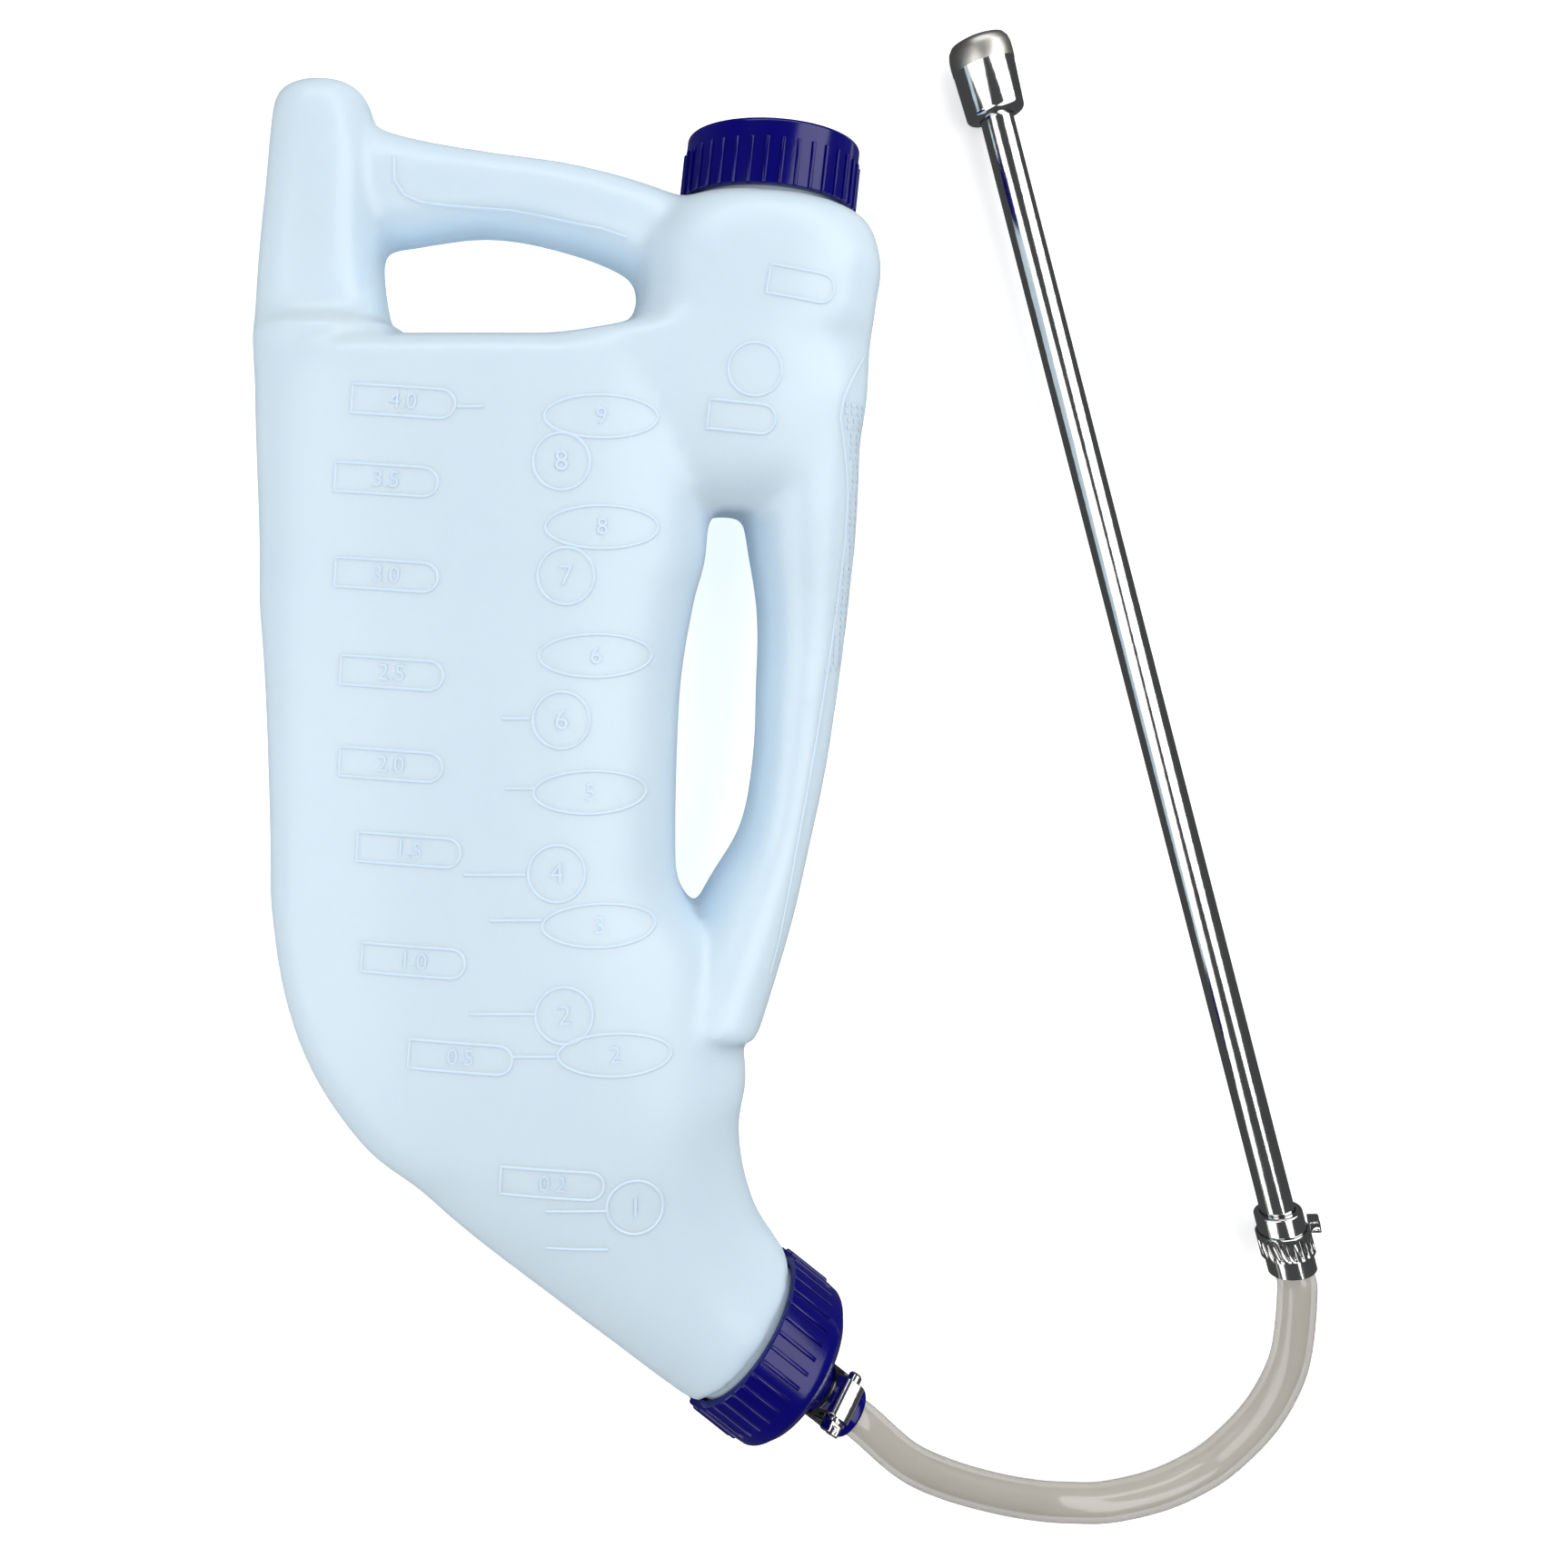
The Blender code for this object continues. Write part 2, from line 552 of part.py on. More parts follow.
def make_clamp(name, frame, inner_radius, start, turn):
    """A worm-drive clamp round local Z; the turn says where round the axis its housing sits."""
    middle = start + BAND_WIDTH / 2
    frame = frame @ Matrix.Rotation(math.radians(turn), 4, "Z") @ Matrix.Translation((0, 0, middle))
    half = BAND_WIDTH / 2
    outer_radius = inner_radius + BAND_THICKNESS
    hoop = tube(inner_radius, outer_radius, -half, half, SMALL_POINTS)
    band = add_piece(name + "_band", hoop, STEEL, frame)
    for index in range(BAND_SLOTS):
        slot = bmesh.new()
        bmesh.ops.create_cube(slot, size=1)
        bmesh.ops.scale(slot, verts=slot.verts, vec=(4 * BAND_THICKNESS, BAND_SLOT_WIDTH, BAND_SLOT_LENGTH))
        bmesh.ops.rotate(slot, verts=slot.verts, cent=(0, 0, 0),
                         matrix=Matrix.Rotation(math.radians(BAND_SLOT_LEAN), 3, "X"))
        bmesh.ops.translate(slot, verts=slot.verts, vec=(outer_radius, 0, 0))
        around = math.radians(BAND_FIRST_SLOT + BAND_SLOT_STEP * index)
        bmesh.ops.rotate(slot, verts=slot.verts, cent=(0, 0, 0), matrix=Matrix.Rotation(around, 3, "Z"))
        boolean(band, add_piece(f"{name}_slot_{index}", slot, frame=frame), "DIFFERENCE")

    thread_radius = SCREW_RADIUS + SCREW_THREAD_HEIGHT
    screw_distance = outer_radius + GAP + thread_radius
    bore_radius = (thread_radius + GAP) / math.cos(math.pi / WORM_POINTS)
    saddle = bmesh.new()
    bmesh.ops.create_cube(saddle, size=1)
    top = screw_distance + bore_radius + HOUSING_WALL
    bmesh.ops.scale(saddle, verts=saddle.verts, vec=(top, HOUSING_LENGTH, HOUSING_WIDTH))
    bmesh.ops.translate(saddle, verts=saddle.verts, vec=(top / 2, 0, 0))
    roof = [edge for edge in saddle.edges
            if all(vert.co.x > top / 2 for vert in edge.verts)
            and abs(edge.verts[0].co.y - edge.verts[1].co.y) > HOUSING_LENGTH / 2]
    bmesh.ops.bevel(saddle, geom=roof, offset=HOUSING_ROUNDING, segments=3, profile=0.5, affect="EDGES")
    housing = add_piece(name + "_housing", saddle, STEEL, frame)
    seat = turned([(outer_radius + GAP, -BAND_WIDTH), (outer_radius + GAP, BAND_WIDTH)], SMALL_POINTS)
    boolean(housing, add_piece(name + "_housing_seat", seat, frame=frame), "DIFFERENCE")
    along_the_band = Matrix.Rotation(math.radians(-90), 4, "X")
    screw_frame = frame @ Matrix.Translation((screw_distance, 0, 0)) @ along_the_band
    bore = turned([(bore_radius, -HOUSING_LENGTH), (bore_radius, HOUSING_LENGTH)], WORM_POINTS)
    boolean(housing, add_piece(name + "_housing_bore", bore, frame=screw_frame), "DIFFERENCE")

    head_start = HOUSING_LENGTH / 2 + SCREW_NECK
    tail = -HOUSING_LENGTH / 2 - SCREW_TAIL
    shank = turned([(SCREW_RADIUS, tail), (SCREW_RADIUS, head_start + GAP)], WORM_POINTS)
    screw = add_piece(name + "_screw", shank, STEEL, screw_frame)
    head = turned([(SCREW_HEAD_RADIUS, head_start), (SCREW_HEAD_RADIUS, head_start + SCREW_HEAD_LENGTH)], 6)
    boolean(screw, add_piece(name + "_screw_head", head, frame=screw_frame), "UNION")
    turns = (HOUSING_LENGTH - SCREW_THREAD_LEAD) / SCREW_THREAD_LEAD
    worm = thread_ridge(SCREW_RADIUS - SCREW_THREAD_HEIGHT / 2, thread_radius, SCREW_THREAD_FOOT,
                        SCREW_THREAD_CREST, SCREW_THREAD_LEAD, turns,
                        -HOUSING_LENGTH / 2 + SCREW_THREAD_LEAD / 2, WORM_POINTS)
    boolean(screw, add_piece(name + "_screw_worm", worm, frame=screw_frame), "UNION")
    notch = bmesh.new()
    bmesh.ops.create_cube(notch, size=1)
    bmesh.ops.scale(notch, verts=notch.verts,
                    vec=(4 * SCREW_HEAD_RADIUS, SCREW_SLOT_WIDTH, 2 * SCREW_SLOT_DEPTH))
    bmesh.ops.translate(notch, verts=notch.verts, vec=(0, 0, head_start + SCREW_HEAD_LENGTH))
    boolean(screw, add_piece(name + "_screw_notch", notch, frame=screw_frame), "DIFFERENCE")


def make_probe():
    nose = [(HEAD_RADIUS - inward, height) for inward, height in HEAD_NOSE]
    foot = [
        (HEAD_FOOT_RADIUS, HEAD_LENGTH - HEAD_FOOT_EDGE),
        (HEAD_FOOT_RADIUS - HEAD_FOOT_EDGE, HEAD_LENGTH),
    ]
    head = add_piece("probe_head", turned(nose + foot, SMALL_POINTS), STEEL, PROBE_AXIS)
    tube_start = HEAD_LENGTH - HEAD_TUBE_DEPTH
    mouth = turned([
        (HEAD_MOUTH_RADIUS, -GAP),
        ((HEAD_MOUTH_RADIUS + TUBE_RADIUS - TUBE_WALL) / 2, HEAD_MOUTH_LIP),
        (TUBE_RADIUS - TUBE_WALL, HEAD_FUNNEL),
        (TUBE_RADIUS - TUBE_WALL, tube_start - GAP),
        (TUBE_RADIUS + GAP, tube_start - GAP / 2),
        (TUBE_RADIUS + GAP, HEAD_LENGTH + GAP),
    ], SMALL_POINTS)
    boolean(head, add_piece("probe_head_mouth", mouth, frame=PROBE_AXIS), "DIFFERENCE")

    tube_end = FERRULE_START + TUBE_END_INSIDE
    pipe = tube(TUBE_RADIUS - TUBE_WALL, TUBE_RADIUS, tube_start, tube_end, SMALL_POINTS)
    add_piece("probe_tube", pipe, STEEL, PROBE_AXIS)

    ferrule = turned([
        (FERRULE_RADIUS - FERRULE_WALL / 2, FERRULE_START),
        (FERRULE_RADIUS, FERRULE_START + FERRULE_WALL / 2),
        (FERRULE_RADIUS, PROBE_LENGTH),
    ], SMALL_POINTS)
    ferrule = add_piece("probe_ferrule", ferrule, STEEL, PROBE_AXIS)
    passage = turned([
        (TUBE_RADIUS + GAP, FERRULE_START - GAP),
        (TUBE_RADIUS + GAP, FERRULE_START + FERRULE_LIP),
        (FERRULE_INNER_RADIUS, FERRULE_START + FERRULE_LIP + GAP),
        (FERRULE_INNER_RADIUS, PROBE_LENGTH + GAP),
    ], SMALL_POINTS)
    boolean(ferrule, add_piece("probe_ferrule_passage", passage, frame=PROBE_AXIS), "DIFFERENCE")


def hose_route():
    """The route's chosen points, from inside the spout to the tube's end in the ferrule.

    Its first stretch is straight and clear of the seat, so that the cap can rise along it.
    """
    def on_outlet(distance):
        return OUTLET_AXIS @ Vector((0, 0, distance))

    def on_probe(distance):
        return PROBE_AXIS @ Vector((0, 0, distance))

    hose_end = HOSE_SEAT + CAP_TRAVEL + 2 * GAP
    straight = SPOUT_END + CAP_TRAVEL
    start = [on_outlet(hose_end), on_outlet((hose_end + straight) / 2), on_outlet(straight)]
    mouth = PROBE_LENGTH + GAP
    end = [on_probe(mouth + HOSE_RADIUS), on_probe(mouth), on_probe(FERRULE_START + TUBE_END_INSIDE + GAP)]
    return start + [Vector(point) for point in HOSE_WAY] + end


def make_hose():
    route = hose_route()
    columns = list(zip(*route))
    line = bpy.data.curves.new("hose", "CURVE")
    line.dimensions = "3D"
    line.bevel_depth = HOSE_RADIUS
    line.bevel_resolution = HOSE_ROUND_POINTS // 2 - 2
    line.use_fill_caps = True
    spline = line.splines.new("POLY")
    spline.points.add(HOSE_POINTS - 1)
    for index in range(HOSE_POINTS):
        at = index * (len(route) - 1) / (HOSE_POINTS - 1)
        spline.points[index].co = [smooth_value(values, at) for values in columns] + [1]
    line.materials.append(finish_material("hose", CLEAR_HOSE))
    bpy.context.collection.objects.link(bpy.data.objects.new("hose", line))


def main():
    clear_scene()
    make_bottle()
    make_fill_cap()
    make_outlet_cap()
    make_hose()
    make_probe()
    make_clamp("outlet_clamp", OUTLET_AXIS, SPOUT_RADIUS + GAP, SPOUT_BAND_START, SPOUT_CLAMP_TURN)
    make_clamp("probe_clamp", PROBE_AXIS, FERRULE_RADIUS + GAP, FERRULE_START + FERRULE_BAND_START,
               FERRULE_CLAMP_TURN)


main()
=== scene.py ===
"""Looks of the calf drencher: milky bottle, navy caps, clear hose and steel probe, on a pale floor."""

import json
import math

import bmesh
import bpy
from mathutils import Matrix, Vector
from mathutils.bvhtree import BVHTree


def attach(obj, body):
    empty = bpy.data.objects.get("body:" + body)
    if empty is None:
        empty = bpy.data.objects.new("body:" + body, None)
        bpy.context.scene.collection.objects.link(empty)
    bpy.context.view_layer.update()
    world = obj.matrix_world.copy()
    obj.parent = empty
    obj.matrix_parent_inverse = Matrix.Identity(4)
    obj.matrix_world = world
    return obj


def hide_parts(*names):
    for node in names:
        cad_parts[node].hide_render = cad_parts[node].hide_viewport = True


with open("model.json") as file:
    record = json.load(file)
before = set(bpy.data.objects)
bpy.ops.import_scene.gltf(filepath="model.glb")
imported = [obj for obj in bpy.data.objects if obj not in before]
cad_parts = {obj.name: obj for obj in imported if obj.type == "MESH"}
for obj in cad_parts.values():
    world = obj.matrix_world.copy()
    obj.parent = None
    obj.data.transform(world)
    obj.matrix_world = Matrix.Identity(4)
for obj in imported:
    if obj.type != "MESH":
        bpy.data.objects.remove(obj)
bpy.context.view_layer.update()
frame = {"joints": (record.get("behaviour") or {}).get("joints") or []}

JOINTS = {joint["name"]: joint for joint in frame["joints"]}
GAP = 0.0003

# The photograph's camera, straight above the object
CAMERA_X = 0.0375
CAMERA_Y = 0.0341
CAMERA_HEIGHT = 0.5725
FRAME_PIXELS = 1726
FOCAL_PIXELS = 1550
NADIR = (630, 660)
SENSOR = 36.0

# Bottle
MID_HEIGHT = 0.044
TANK_HALF_DEPTH = 0.0448
TOWER_HALF_DEPTH = 0.0418
COLUMN_HALF_DEPTH = 0.0300
GRIP_HALF_DEPTH = 0.0200
WALL = 0.0024
SKIN_VOXEL = 0.0021
CAVITY_VOXEL = 0.0034
BLEND_WIDTH = 0.0107
SECTION_POINTS = 72
STEPS_PER_SPAN = 8
NECK_RADIUS = 0.0272
NECK_BORE_RADIUS = 0.0246
NECK_HEIGHT = 0.0200
NECK_ROOT = 0.0110
SHOULDER = 0.0038
THREAD_LEAD = 0.0050
THREAD_TURNS = 1.5
THREAD_START = 0.0042
THREAD_HEIGHT = 0.0012
THREAD_POINTS = 48
CAP_TRAVEL = THREAD_LEAD * THREAD_TURNS

# Caps
CAP_RADIUS = 0.0320
CAP_BORE_RADIUS = 0.0289
CAP_LIFT = 0.0010
CAP_INSIDE = 0.0225
CAP_HEIGHT = 0.0245
RIB_COUNT = 36
RIB_HEIGHT = 0.0009
RIB_WIDTH = 0.0015
RIB_LENGTH = 0.0166
SEAL_RADIUS = 0.0283
SPOUT_RADIUS = 0.00925
SPOUT_END = 0.0530
SPOUT_LIP = 0.0006
SPOUT_MOUTH_FLARE = 0.0014
SPOUT_BORE_RADIUS = 0.0055
HOSE_SEAT = 0.0390

# Hose and probe
HOSE_RADIUS = 0.00715
HOSE_BORE_RADIUS = 0.0049
PROBE_TIP = Vector((0.1984, 0.2567, 0.0122))
PROBE_HEADING = -75.87
PROBE_RISE = 0.76
PROBE_LENGTH = 0.5010
TUBE_RADIUS = 0.00635
TUBE_WALL = 0.0011
HEAD_RADIUS = 0.0122
HEAD_FOOT_RADIUS = 0.0110
HEAD_LENGTH = 0.0320
HEAD_TUBE_DEPTH = 0.0160
FERRULE_LENGTH = 0.0240
FERRULE_RADIUS = 0.0089
FERRULE_WALL = 0.0011
TUBE_END_INSIDE = 0.0085

# Hose clamps
BAND_WIDTH = 0.0096
BAND_THICKNESS = 0.0008
BAND_SLOTS = 18
BAND_FIRST_SLOT = 45.0
BAND_SLOT_STEP = 15.0
BAND_SLOT_LENGTH = 0.0058
BAND_SLOT_WIDTH = 0.0011
BAND_SLOT_LEAN = 14.0
SPOUT_BAND_START = 0.0375
FERRULE_BAND_START = 0.0076
SPOUT_CLAMP_TURN = 63.0
FERRULE_CLAMP_TURN = -62.0
HOUSING_LENGTH = 0.0135
HOUSING_WIDTH = 0.0088
SCREW_RADIUS = 0.0024
SCREW_THREAD_HEIGHT = 0.0005
SCREW_HEAD_RADIUS = 0.0040
SCREW_HEAD_LENGTH = 0.0048

# Each station of a hollow form: x, y, heading in degrees, half width, half depth, squareness
TANK = [
    (0.0030, 0.1285, -90, 0.0680, TANK_HALF_DEPTH - 0.0120, 3.0),
    (0.0040, 0.1250, -90, 0.0780, TANK_HALF_DEPTH - 0.0040, 3.4),
    (0.0045, 0.1155, -90, 0.0830, TANK_HALF_DEPTH, 3.6),
    (0.0051, 0.0546, -90, 0.0820, TANK_HALF_DEPTH, 3.6),
    (0.0028, 0.0340, -90, 0.0797, TANK_HALF_DEPTH, 3.6),
    (0.0013, 0.0000, -90, 0.0759, TANK_HALF_DEPTH, 3.6),
    (0.0014, -0.0550, -90, 0.0742, TANK_HALF_DEPTH, 3.6),
    (0.0026, -0.0740, -89, 0.0754, TANK_HALF_DEPTH, 3.5),
    (0.0118, -0.1020, -85, 0.0802, TANK_HALF_DEPTH, 3.4),
    (0.0200, -0.1273, -82, 0.0785, TANK_HALF_DEPTH, 3.2),
    (0.0310, -0.1517, -80, 0.0720, TANK_HALF_DEPTH - 0.0010, 3.0),
    (0.0389, -0.1653, -78, 0.0624, TANK_HALF_DEPTH - 0.0020, 2.8),
    (0.0451, -0.1757, -75, 0.0561, TANK_HALF_DEPTH - 0.0035, 2.7),
    (0.0618, -0.1970, -64, 0.0441, TANK_HALF_DEPTH - 0.0075, 2.4),
    (0.0781, -0.2163, -53, 0.0360, TANK_HALF_DEPTH - 0.0110, 2.2),
    (0.0912, -0.2294, -43, 0.0330, TANK_HALF_DEPTH - 0.0128, 2.0),
]
TOWER = [
    (0.0970, 0.0660, 90, 0.0380, TOWER_HALF_DEPTH - 0.0170, 2.8),
    (0.0958, 0.0780, 90, 0.0440, TOWER_HALF_DEPTH - 0.0060, 3.0),
    (0.0950, 0.1020, 90, 0.0500, TOWER_HALF_DEPTH, 3.2),
    (0.0800, 0.1245, 90, 0.0668, TOWER_HALF_DEPTH, 3.2),
    (0.0917, 0.1303, 90, 0.0557, TOWER_HALF_DEPTH, 3.2),
    (0.0978, 0.1323, 90, 0.0498, TOWER_HALF_DEPTH, 3.2),
    (0.1023, 0.1350, 90, 0.0457, TOWER_HALF_DEPTH, 3.2),
    (0.1044, 0.1400, 89, 0.0441, TOWER_HALF_DEPTH, 3.1),
    (0.1059, 0.1480, 88, 0.0440, TOWER_HALF_DEPTH, 3.0),
    (0.1059, 0.1550, 87, 0.0452, TOWER_HALF_DEPTH, 3.0),
    (0.1084, 0.1670, 84, 0.0420, TOWER_HALF_DEPTH - 0.0020, 2.7),
    (0.1098, 0.1750, 84, 0.0380, TOWER_HALF_DEPTH - 0.0050, 2.4),
]
COLUMN = [
    (-0.0552, 0.0950, 90, 0.0230, COLUMN_HALF_DEPTH, 3.0),
    (-0.0512, 0.1290, 90, 0.0285, COLUMN_HALF_DEPTH + 0.0080, 3.0),
    (-0.0536, 0.1335, 90, 0.0260, COLUMN_HALF_DEPTH + 0.0040, 3.0),
    (-0.0553, 0.1395, 90, 0.0241, COLUMN_HALF_DEPTH, 3.0),
    (-0.0560, 0.1600, 90, 0.0220, COLUMN_HALF_DEPTH, 3.0),
    (-0.0548, 0.1880, 91, 0.0206, COLUMN_HALF_DEPTH, 2.8),
    (-0.0552, 0.2130, 91, 0.0182, COLUMN_HALF_DEPTH - 0.0020, 2.6),
    (-0.0550, 0.2212, 90, 0.0158, COLUMN_HALF_DEPTH - 0.0060, 2.4),
    (-0.0515, 0.2238, 90, 0.0088, COLUMN_HALF_DEPTH - 0.0130, 2.2),
]
TOP_GRIP = [
    (-0.0560, 0.1910, 0, 0.0260, GRIP_HALF_DEPTH, 2.8),
    (-0.0285, 0.1862, -6, 0.0205, GRIP_HALF_DEPTH, 2.8),
    (0.0050, 0.1853, -4, 0.0148, GRIP_HALF_DEPTH, 2.8),
    (0.0350, 0.1808, -11, 0.0150, GRIP_HALF_DEPTH, 2.8),
    (0.0640, 0.1712, -22, 0.0160, GRIP_HALF_DEPTH + 0.0030, 2.8),
    (0.0950, 0.1530, -30, 0.0200, GRIP_HALF_DEPTH + 0.0060, 2.8),
]
SIDE_GRIP = [
    (0.1224, 0.1100, -90, 0.0210, GRIP_HALF_DEPTH + 0.0200, 2.6),
    (0.1225, 0.0650, -90, 0.0200, GRIP_HALF_DEPTH + 0.0145, 2.5),
    (0.1234, 0.0300, -91, 0.0162, GRIP_HALF_DEPTH + 0.0080, 2.4),
    (0.1213, 0.0000, -95, 0.0145, GRIP_HALF_DEPTH + 0.0055, 2.4),
    (0.1186, -0.0270, -99, 0.0130, GRIP_HALF_DEPTH + 0.0045, 2.4),
    (0.1130, -0.0550, -104, 0.0126, GRIP_HALF_DEPTH + 0.0050, 2.4),
    (0.1024, -0.0820, -108, 0.0165, GRIP_HALF_DEPTH + 0.0100, 2.5),
    (0.0883, -0.1200, -112, 0.0180, GRIP_HALF_DEPTH + 0.0180, 2.6),
]

# The hose's way from the spout to the ferrule, between its two straight ends
HOSE_WAY = [
    (0.1636, -0.2914, 0.0395),
    (0.1800, -0.3036, 0.0310),
    (0.2010, -0.3156, 0.0205),
    (0.2219, -0.3245, 0.0118),
    (0.2374, -0.3276, 0.0085),
    (0.2523, -0.3278, 0.0077),
    (0.2716, -0.3234, 0.0077),
    (0.2872, -0.3165, 0.0077),
    (0.2991, -0.3079, 0.0082),
    (0.3118, -0.2928, 0.0102),
    (0.3196, -0.2765, 0.0126),
    (0.3226, -0.2607, 0.0152),
]

# Embossing on the front: its size, and its places in photograph pixels
EMBOSS_HEIGHT = 0.00035
EMBOSS_WIDTH = 0.0016
EMBOSS_FOOT = 0.0003
FRONT_HEIGHT = 0.0880
GRIP_FRONT = 0.0640
TAG_SLOPE = -4.0
TAG_SIZE = (0.0358, 0.0100)
TAG_FIGURE = 0.0080
TAGS = [
    (444, 442, "4.0"),
    (425, 528, "3.5"),
    (425, 633, "3.0"),
    (431, 741, "2.5"),
    (430, 842, "2.0"),
    (450, 936, "1.5"),
    (455, 1058, "1.0"),
    (507, 1164, "0.5"),
    (608, 1306, "0.2"),
]
OVAL_HALF_WIDTH = 0.0197
OVAL_HALF_HEIGHT = 0.0074
OVAL_FIGURE = 0.0085
OVALS = [
    (662, 458, "9"),
    (663, 580, "8"),
    (656, 722, "6"),
    (650, 873, "5"),
    (660, 1020, "3"),
    (677, 1162, "2"),
]
CIRCLE_RADIUS = 0.0098
CIRCLE_FIGURE = 0.0100
CIRCLES = [
    (618, 508, "8"),
    (623, 634, "7"),
    (618, 793, "6"),
    (613, 962, "4"),
    (621, 1118, "2"),
    (700, 1335, "1"),
]
LEADERS = [
    (503, 533, 448),
    (553, 583, 791),
    (556, 589, 868),
    (511, 578, 963),
    (539, 597, 1013),
    (517, 589, 1116),
    (563, 612, 1163),
    (600, 668, 1338),
    (600, 670, 1384),
]

# Plain outlines on the tower and the top handle, in photograph pixels
TOWER_RING = (832, 405, 0.0093)
TOWER_TAGS = [(884, 311, -10.0), (818, 458, -6.0)]
TOWER_TAG_SIZE = (0.0235, 0.0100)
HANDLE_PANEL = [
    (433, 170), (434, 198), (445, 214), (463, 222), (490, 225), (520, 227),
    (563, 230), (600, 237), (634, 245), (661, 251), (690, 262),
]

# The gripping pad down the side handle: its left edge in photograph pixels, and its studs
PAD_EDGE = [
    (950, 394), (934, 418), (920, 444), (916, 466), (919, 482), (924, 512), (928, 546),
    (926, 600), (920, 660), (911, 730), (900, 800), (886, 880), (871, 960), (856, 1030), (846, 1066),
]
STUD_SIZE = 0.0012
STUD_STEP = 0.0026
STUD_COLUMNS = 4
STUD_ROWS = 37


def direction(degrees):
    """The level unit vector at that heading from +X."""
    angle = math.radians(degrees)
    return Vector((math.cos(angle), math.sin(angle), 0))


def axis_frame(point, ahead):
    """A frame with local Z ahead, local X level and local Y towards the viewer."""
    ahead = Vector(ahead).normalized()
    side = Vector((0, 0, 1)).cross(ahead).normalized()
    turned_to = Matrix((side, ahead.cross(side), ahead)).transposed().to_4x4()
    turned_to.translation = point
    return turned_to


def joint_frame(name):
    joint = JOINTS[name]
    return axis_frame(Vector(joint["pos_m"]), joint["axis"])


def probe_direction():
    slope = math.radians(PROBE_RISE)
    return direction(PROBE_HEADING) * math.cos(slope) + Vector((0, 0, math.sin(slope)))


FILL_AXIS = joint_frame("fill_cap_turn")
OUTLET_AXIS = joint_frame("outlet_cap_turn")
PROBE_AXIS = axis_frame(PROBE_TIP, probe_direction())
FERRULE_START = PROBE_LENGTH - FERRULE_LENGTH


def from_pixel(u, v, height):
    """The place at that height which the photograph shows at a pixel."""
    reach = (CAMERA_HEIGHT - height) / FOCAL_PIXELS
    return Vector((CAMERA_X + (u - NADIR[0]) * reach, CAMERA_Y - (v - NADIR[1]) * reach, height))


class Value:
    """A shader socket that can be used in sums."""

    def __init__(self, finish, socket):
        self.finish = finish
        self.socket = socket

    def sum(self, operation, *others):
        return self.finish.node("ShaderNodeMath", {"operation": operation}, [self, *others])

    def __add__(self, other):
        return self.sum("ADD", other)

    def __radd__(self, other):
        return self.sum("ADD", other)

    def __sub__(self, other):
        return self.sum("SUBTRACT", other)

    def __rsub__(self, other):
        return self.finish.node("ShaderNodeMath", {"operation": "SUBTRACT"}, [other, self])

    def __mul__(self, other):
        return self.sum("MULTIPLY", other)

    def __rmul__(self, other):
        return self.sum("MULTIPLY", other)

    def __truediv__(self, other):
        return self.sum("DIVIDE", other)

    def size(self):
        return self.sum("ABSOLUTE")

    def at_most(self, other):
        return self.sum("MINIMUM", other)


class Finish:
    """A material whose node tree is written as plain calls and sums."""

    def __init__(self, name):
        self.material = bpy.data.materials.new(name)
        self.material.use_nodes = True
        self.tree = self.material.node_tree
        self.shader = self.tree.nodes["Principled BSDF"]

    def node(self, kind, settings=None, inputs=(), output=0):
        """Adds a node; inputs are a list by place or a dict by socket name."""
        made = self.tree.nodes.new(kind)
        for name, value in (settings or {}).items():
            if name == "stops":
                self.set_stops(made.color_ramp, value)
            else:
                setattr(made, name, value)
        pairs = inputs.items() if isinstance(inputs, dict) else enumerate(inputs)
        for place, value in pairs:
            self.put(made.inputs[place], value)
        return Value(self, made.outputs[output])

    def set_stops(self, ramp, stops):
        while len(ramp.elements) < len(stops):
            ramp.elements.new(0.5)
        for element, (place, colour) in zip(ramp.elements, stops):
            element.position = place
            element.color = (*colour, 1) if len(colour) == 3 else colour

    def put(self, socket, value):
        if isinstance(value, Value):
            self.tree.links.new(value.socket, socket)
        elif value is not None:
            socket.default_value = value

    def set(self, **values):
        """Sets the Principled shader's sockets: base_color=... means Base Color."""
        for name, value in values.items():
            self.put(self.shader.inputs[SOCKETS[name]], value)
        return self

    def place(self, scale=(1, 1, 1), turn=0.0):
        """Object coordinates, stretched and turned about Z."""
        where = self.node("ShaderNodeTexCoord", output="Object")
        return self.node("ShaderNodeMapping", None, {
            "Vector": where,
            "Rotation": (0, 0, math.radians(turn)),
            "Scale": scale,
        })

    def noise(self, where, scale, detail=2.0, roughness=0.5):
        return self.node("ShaderNodeTexNoise", None, {
            "Vector": where,
            "Scale": scale,
            "Detail": detail,
            "Roughness": roughness,
        })

    def parts(self, where):
        """A vector's three values."""
        made = self.tree.nodes.new("ShaderNodeSeparateXYZ")
        self.put(made.inputs[0], where)
        return [Value(self, output) for output in made.outputs]

    def between(self, mask, low, high):
        """A colour that goes from low to high with the mask."""
        return self.node("ShaderNodeValToRGB", {"stops": [(0.0, low), (1.0, high)]}, [mask])

    def bump(self, height, strength, distance):
        return self.node("ShaderNodeBump", None, {
            "Height": height,
            "Strength": strength,
            "Distance": distance,
        })


SOCKETS = {
    "base_color": "Base Color",
    "roughness": "Roughness",
    "metallic": "Metallic",
    "coat": "Coat Weight",
    "coat_roughness": "Coat Roughness",
    "alpha": "Alpha",
    "normal": "Normal",
    "ior": "IOR",
    "subsurface": "Subsurface Weight",
    "subsurface_radius": "Subsurface Radius",
    "subsurface_scale": "Subsurface Scale",
    "specular": "Specular IOR Level",
    "emission": "Emission Color",
    "emission_strength": "Emission Strength",
}


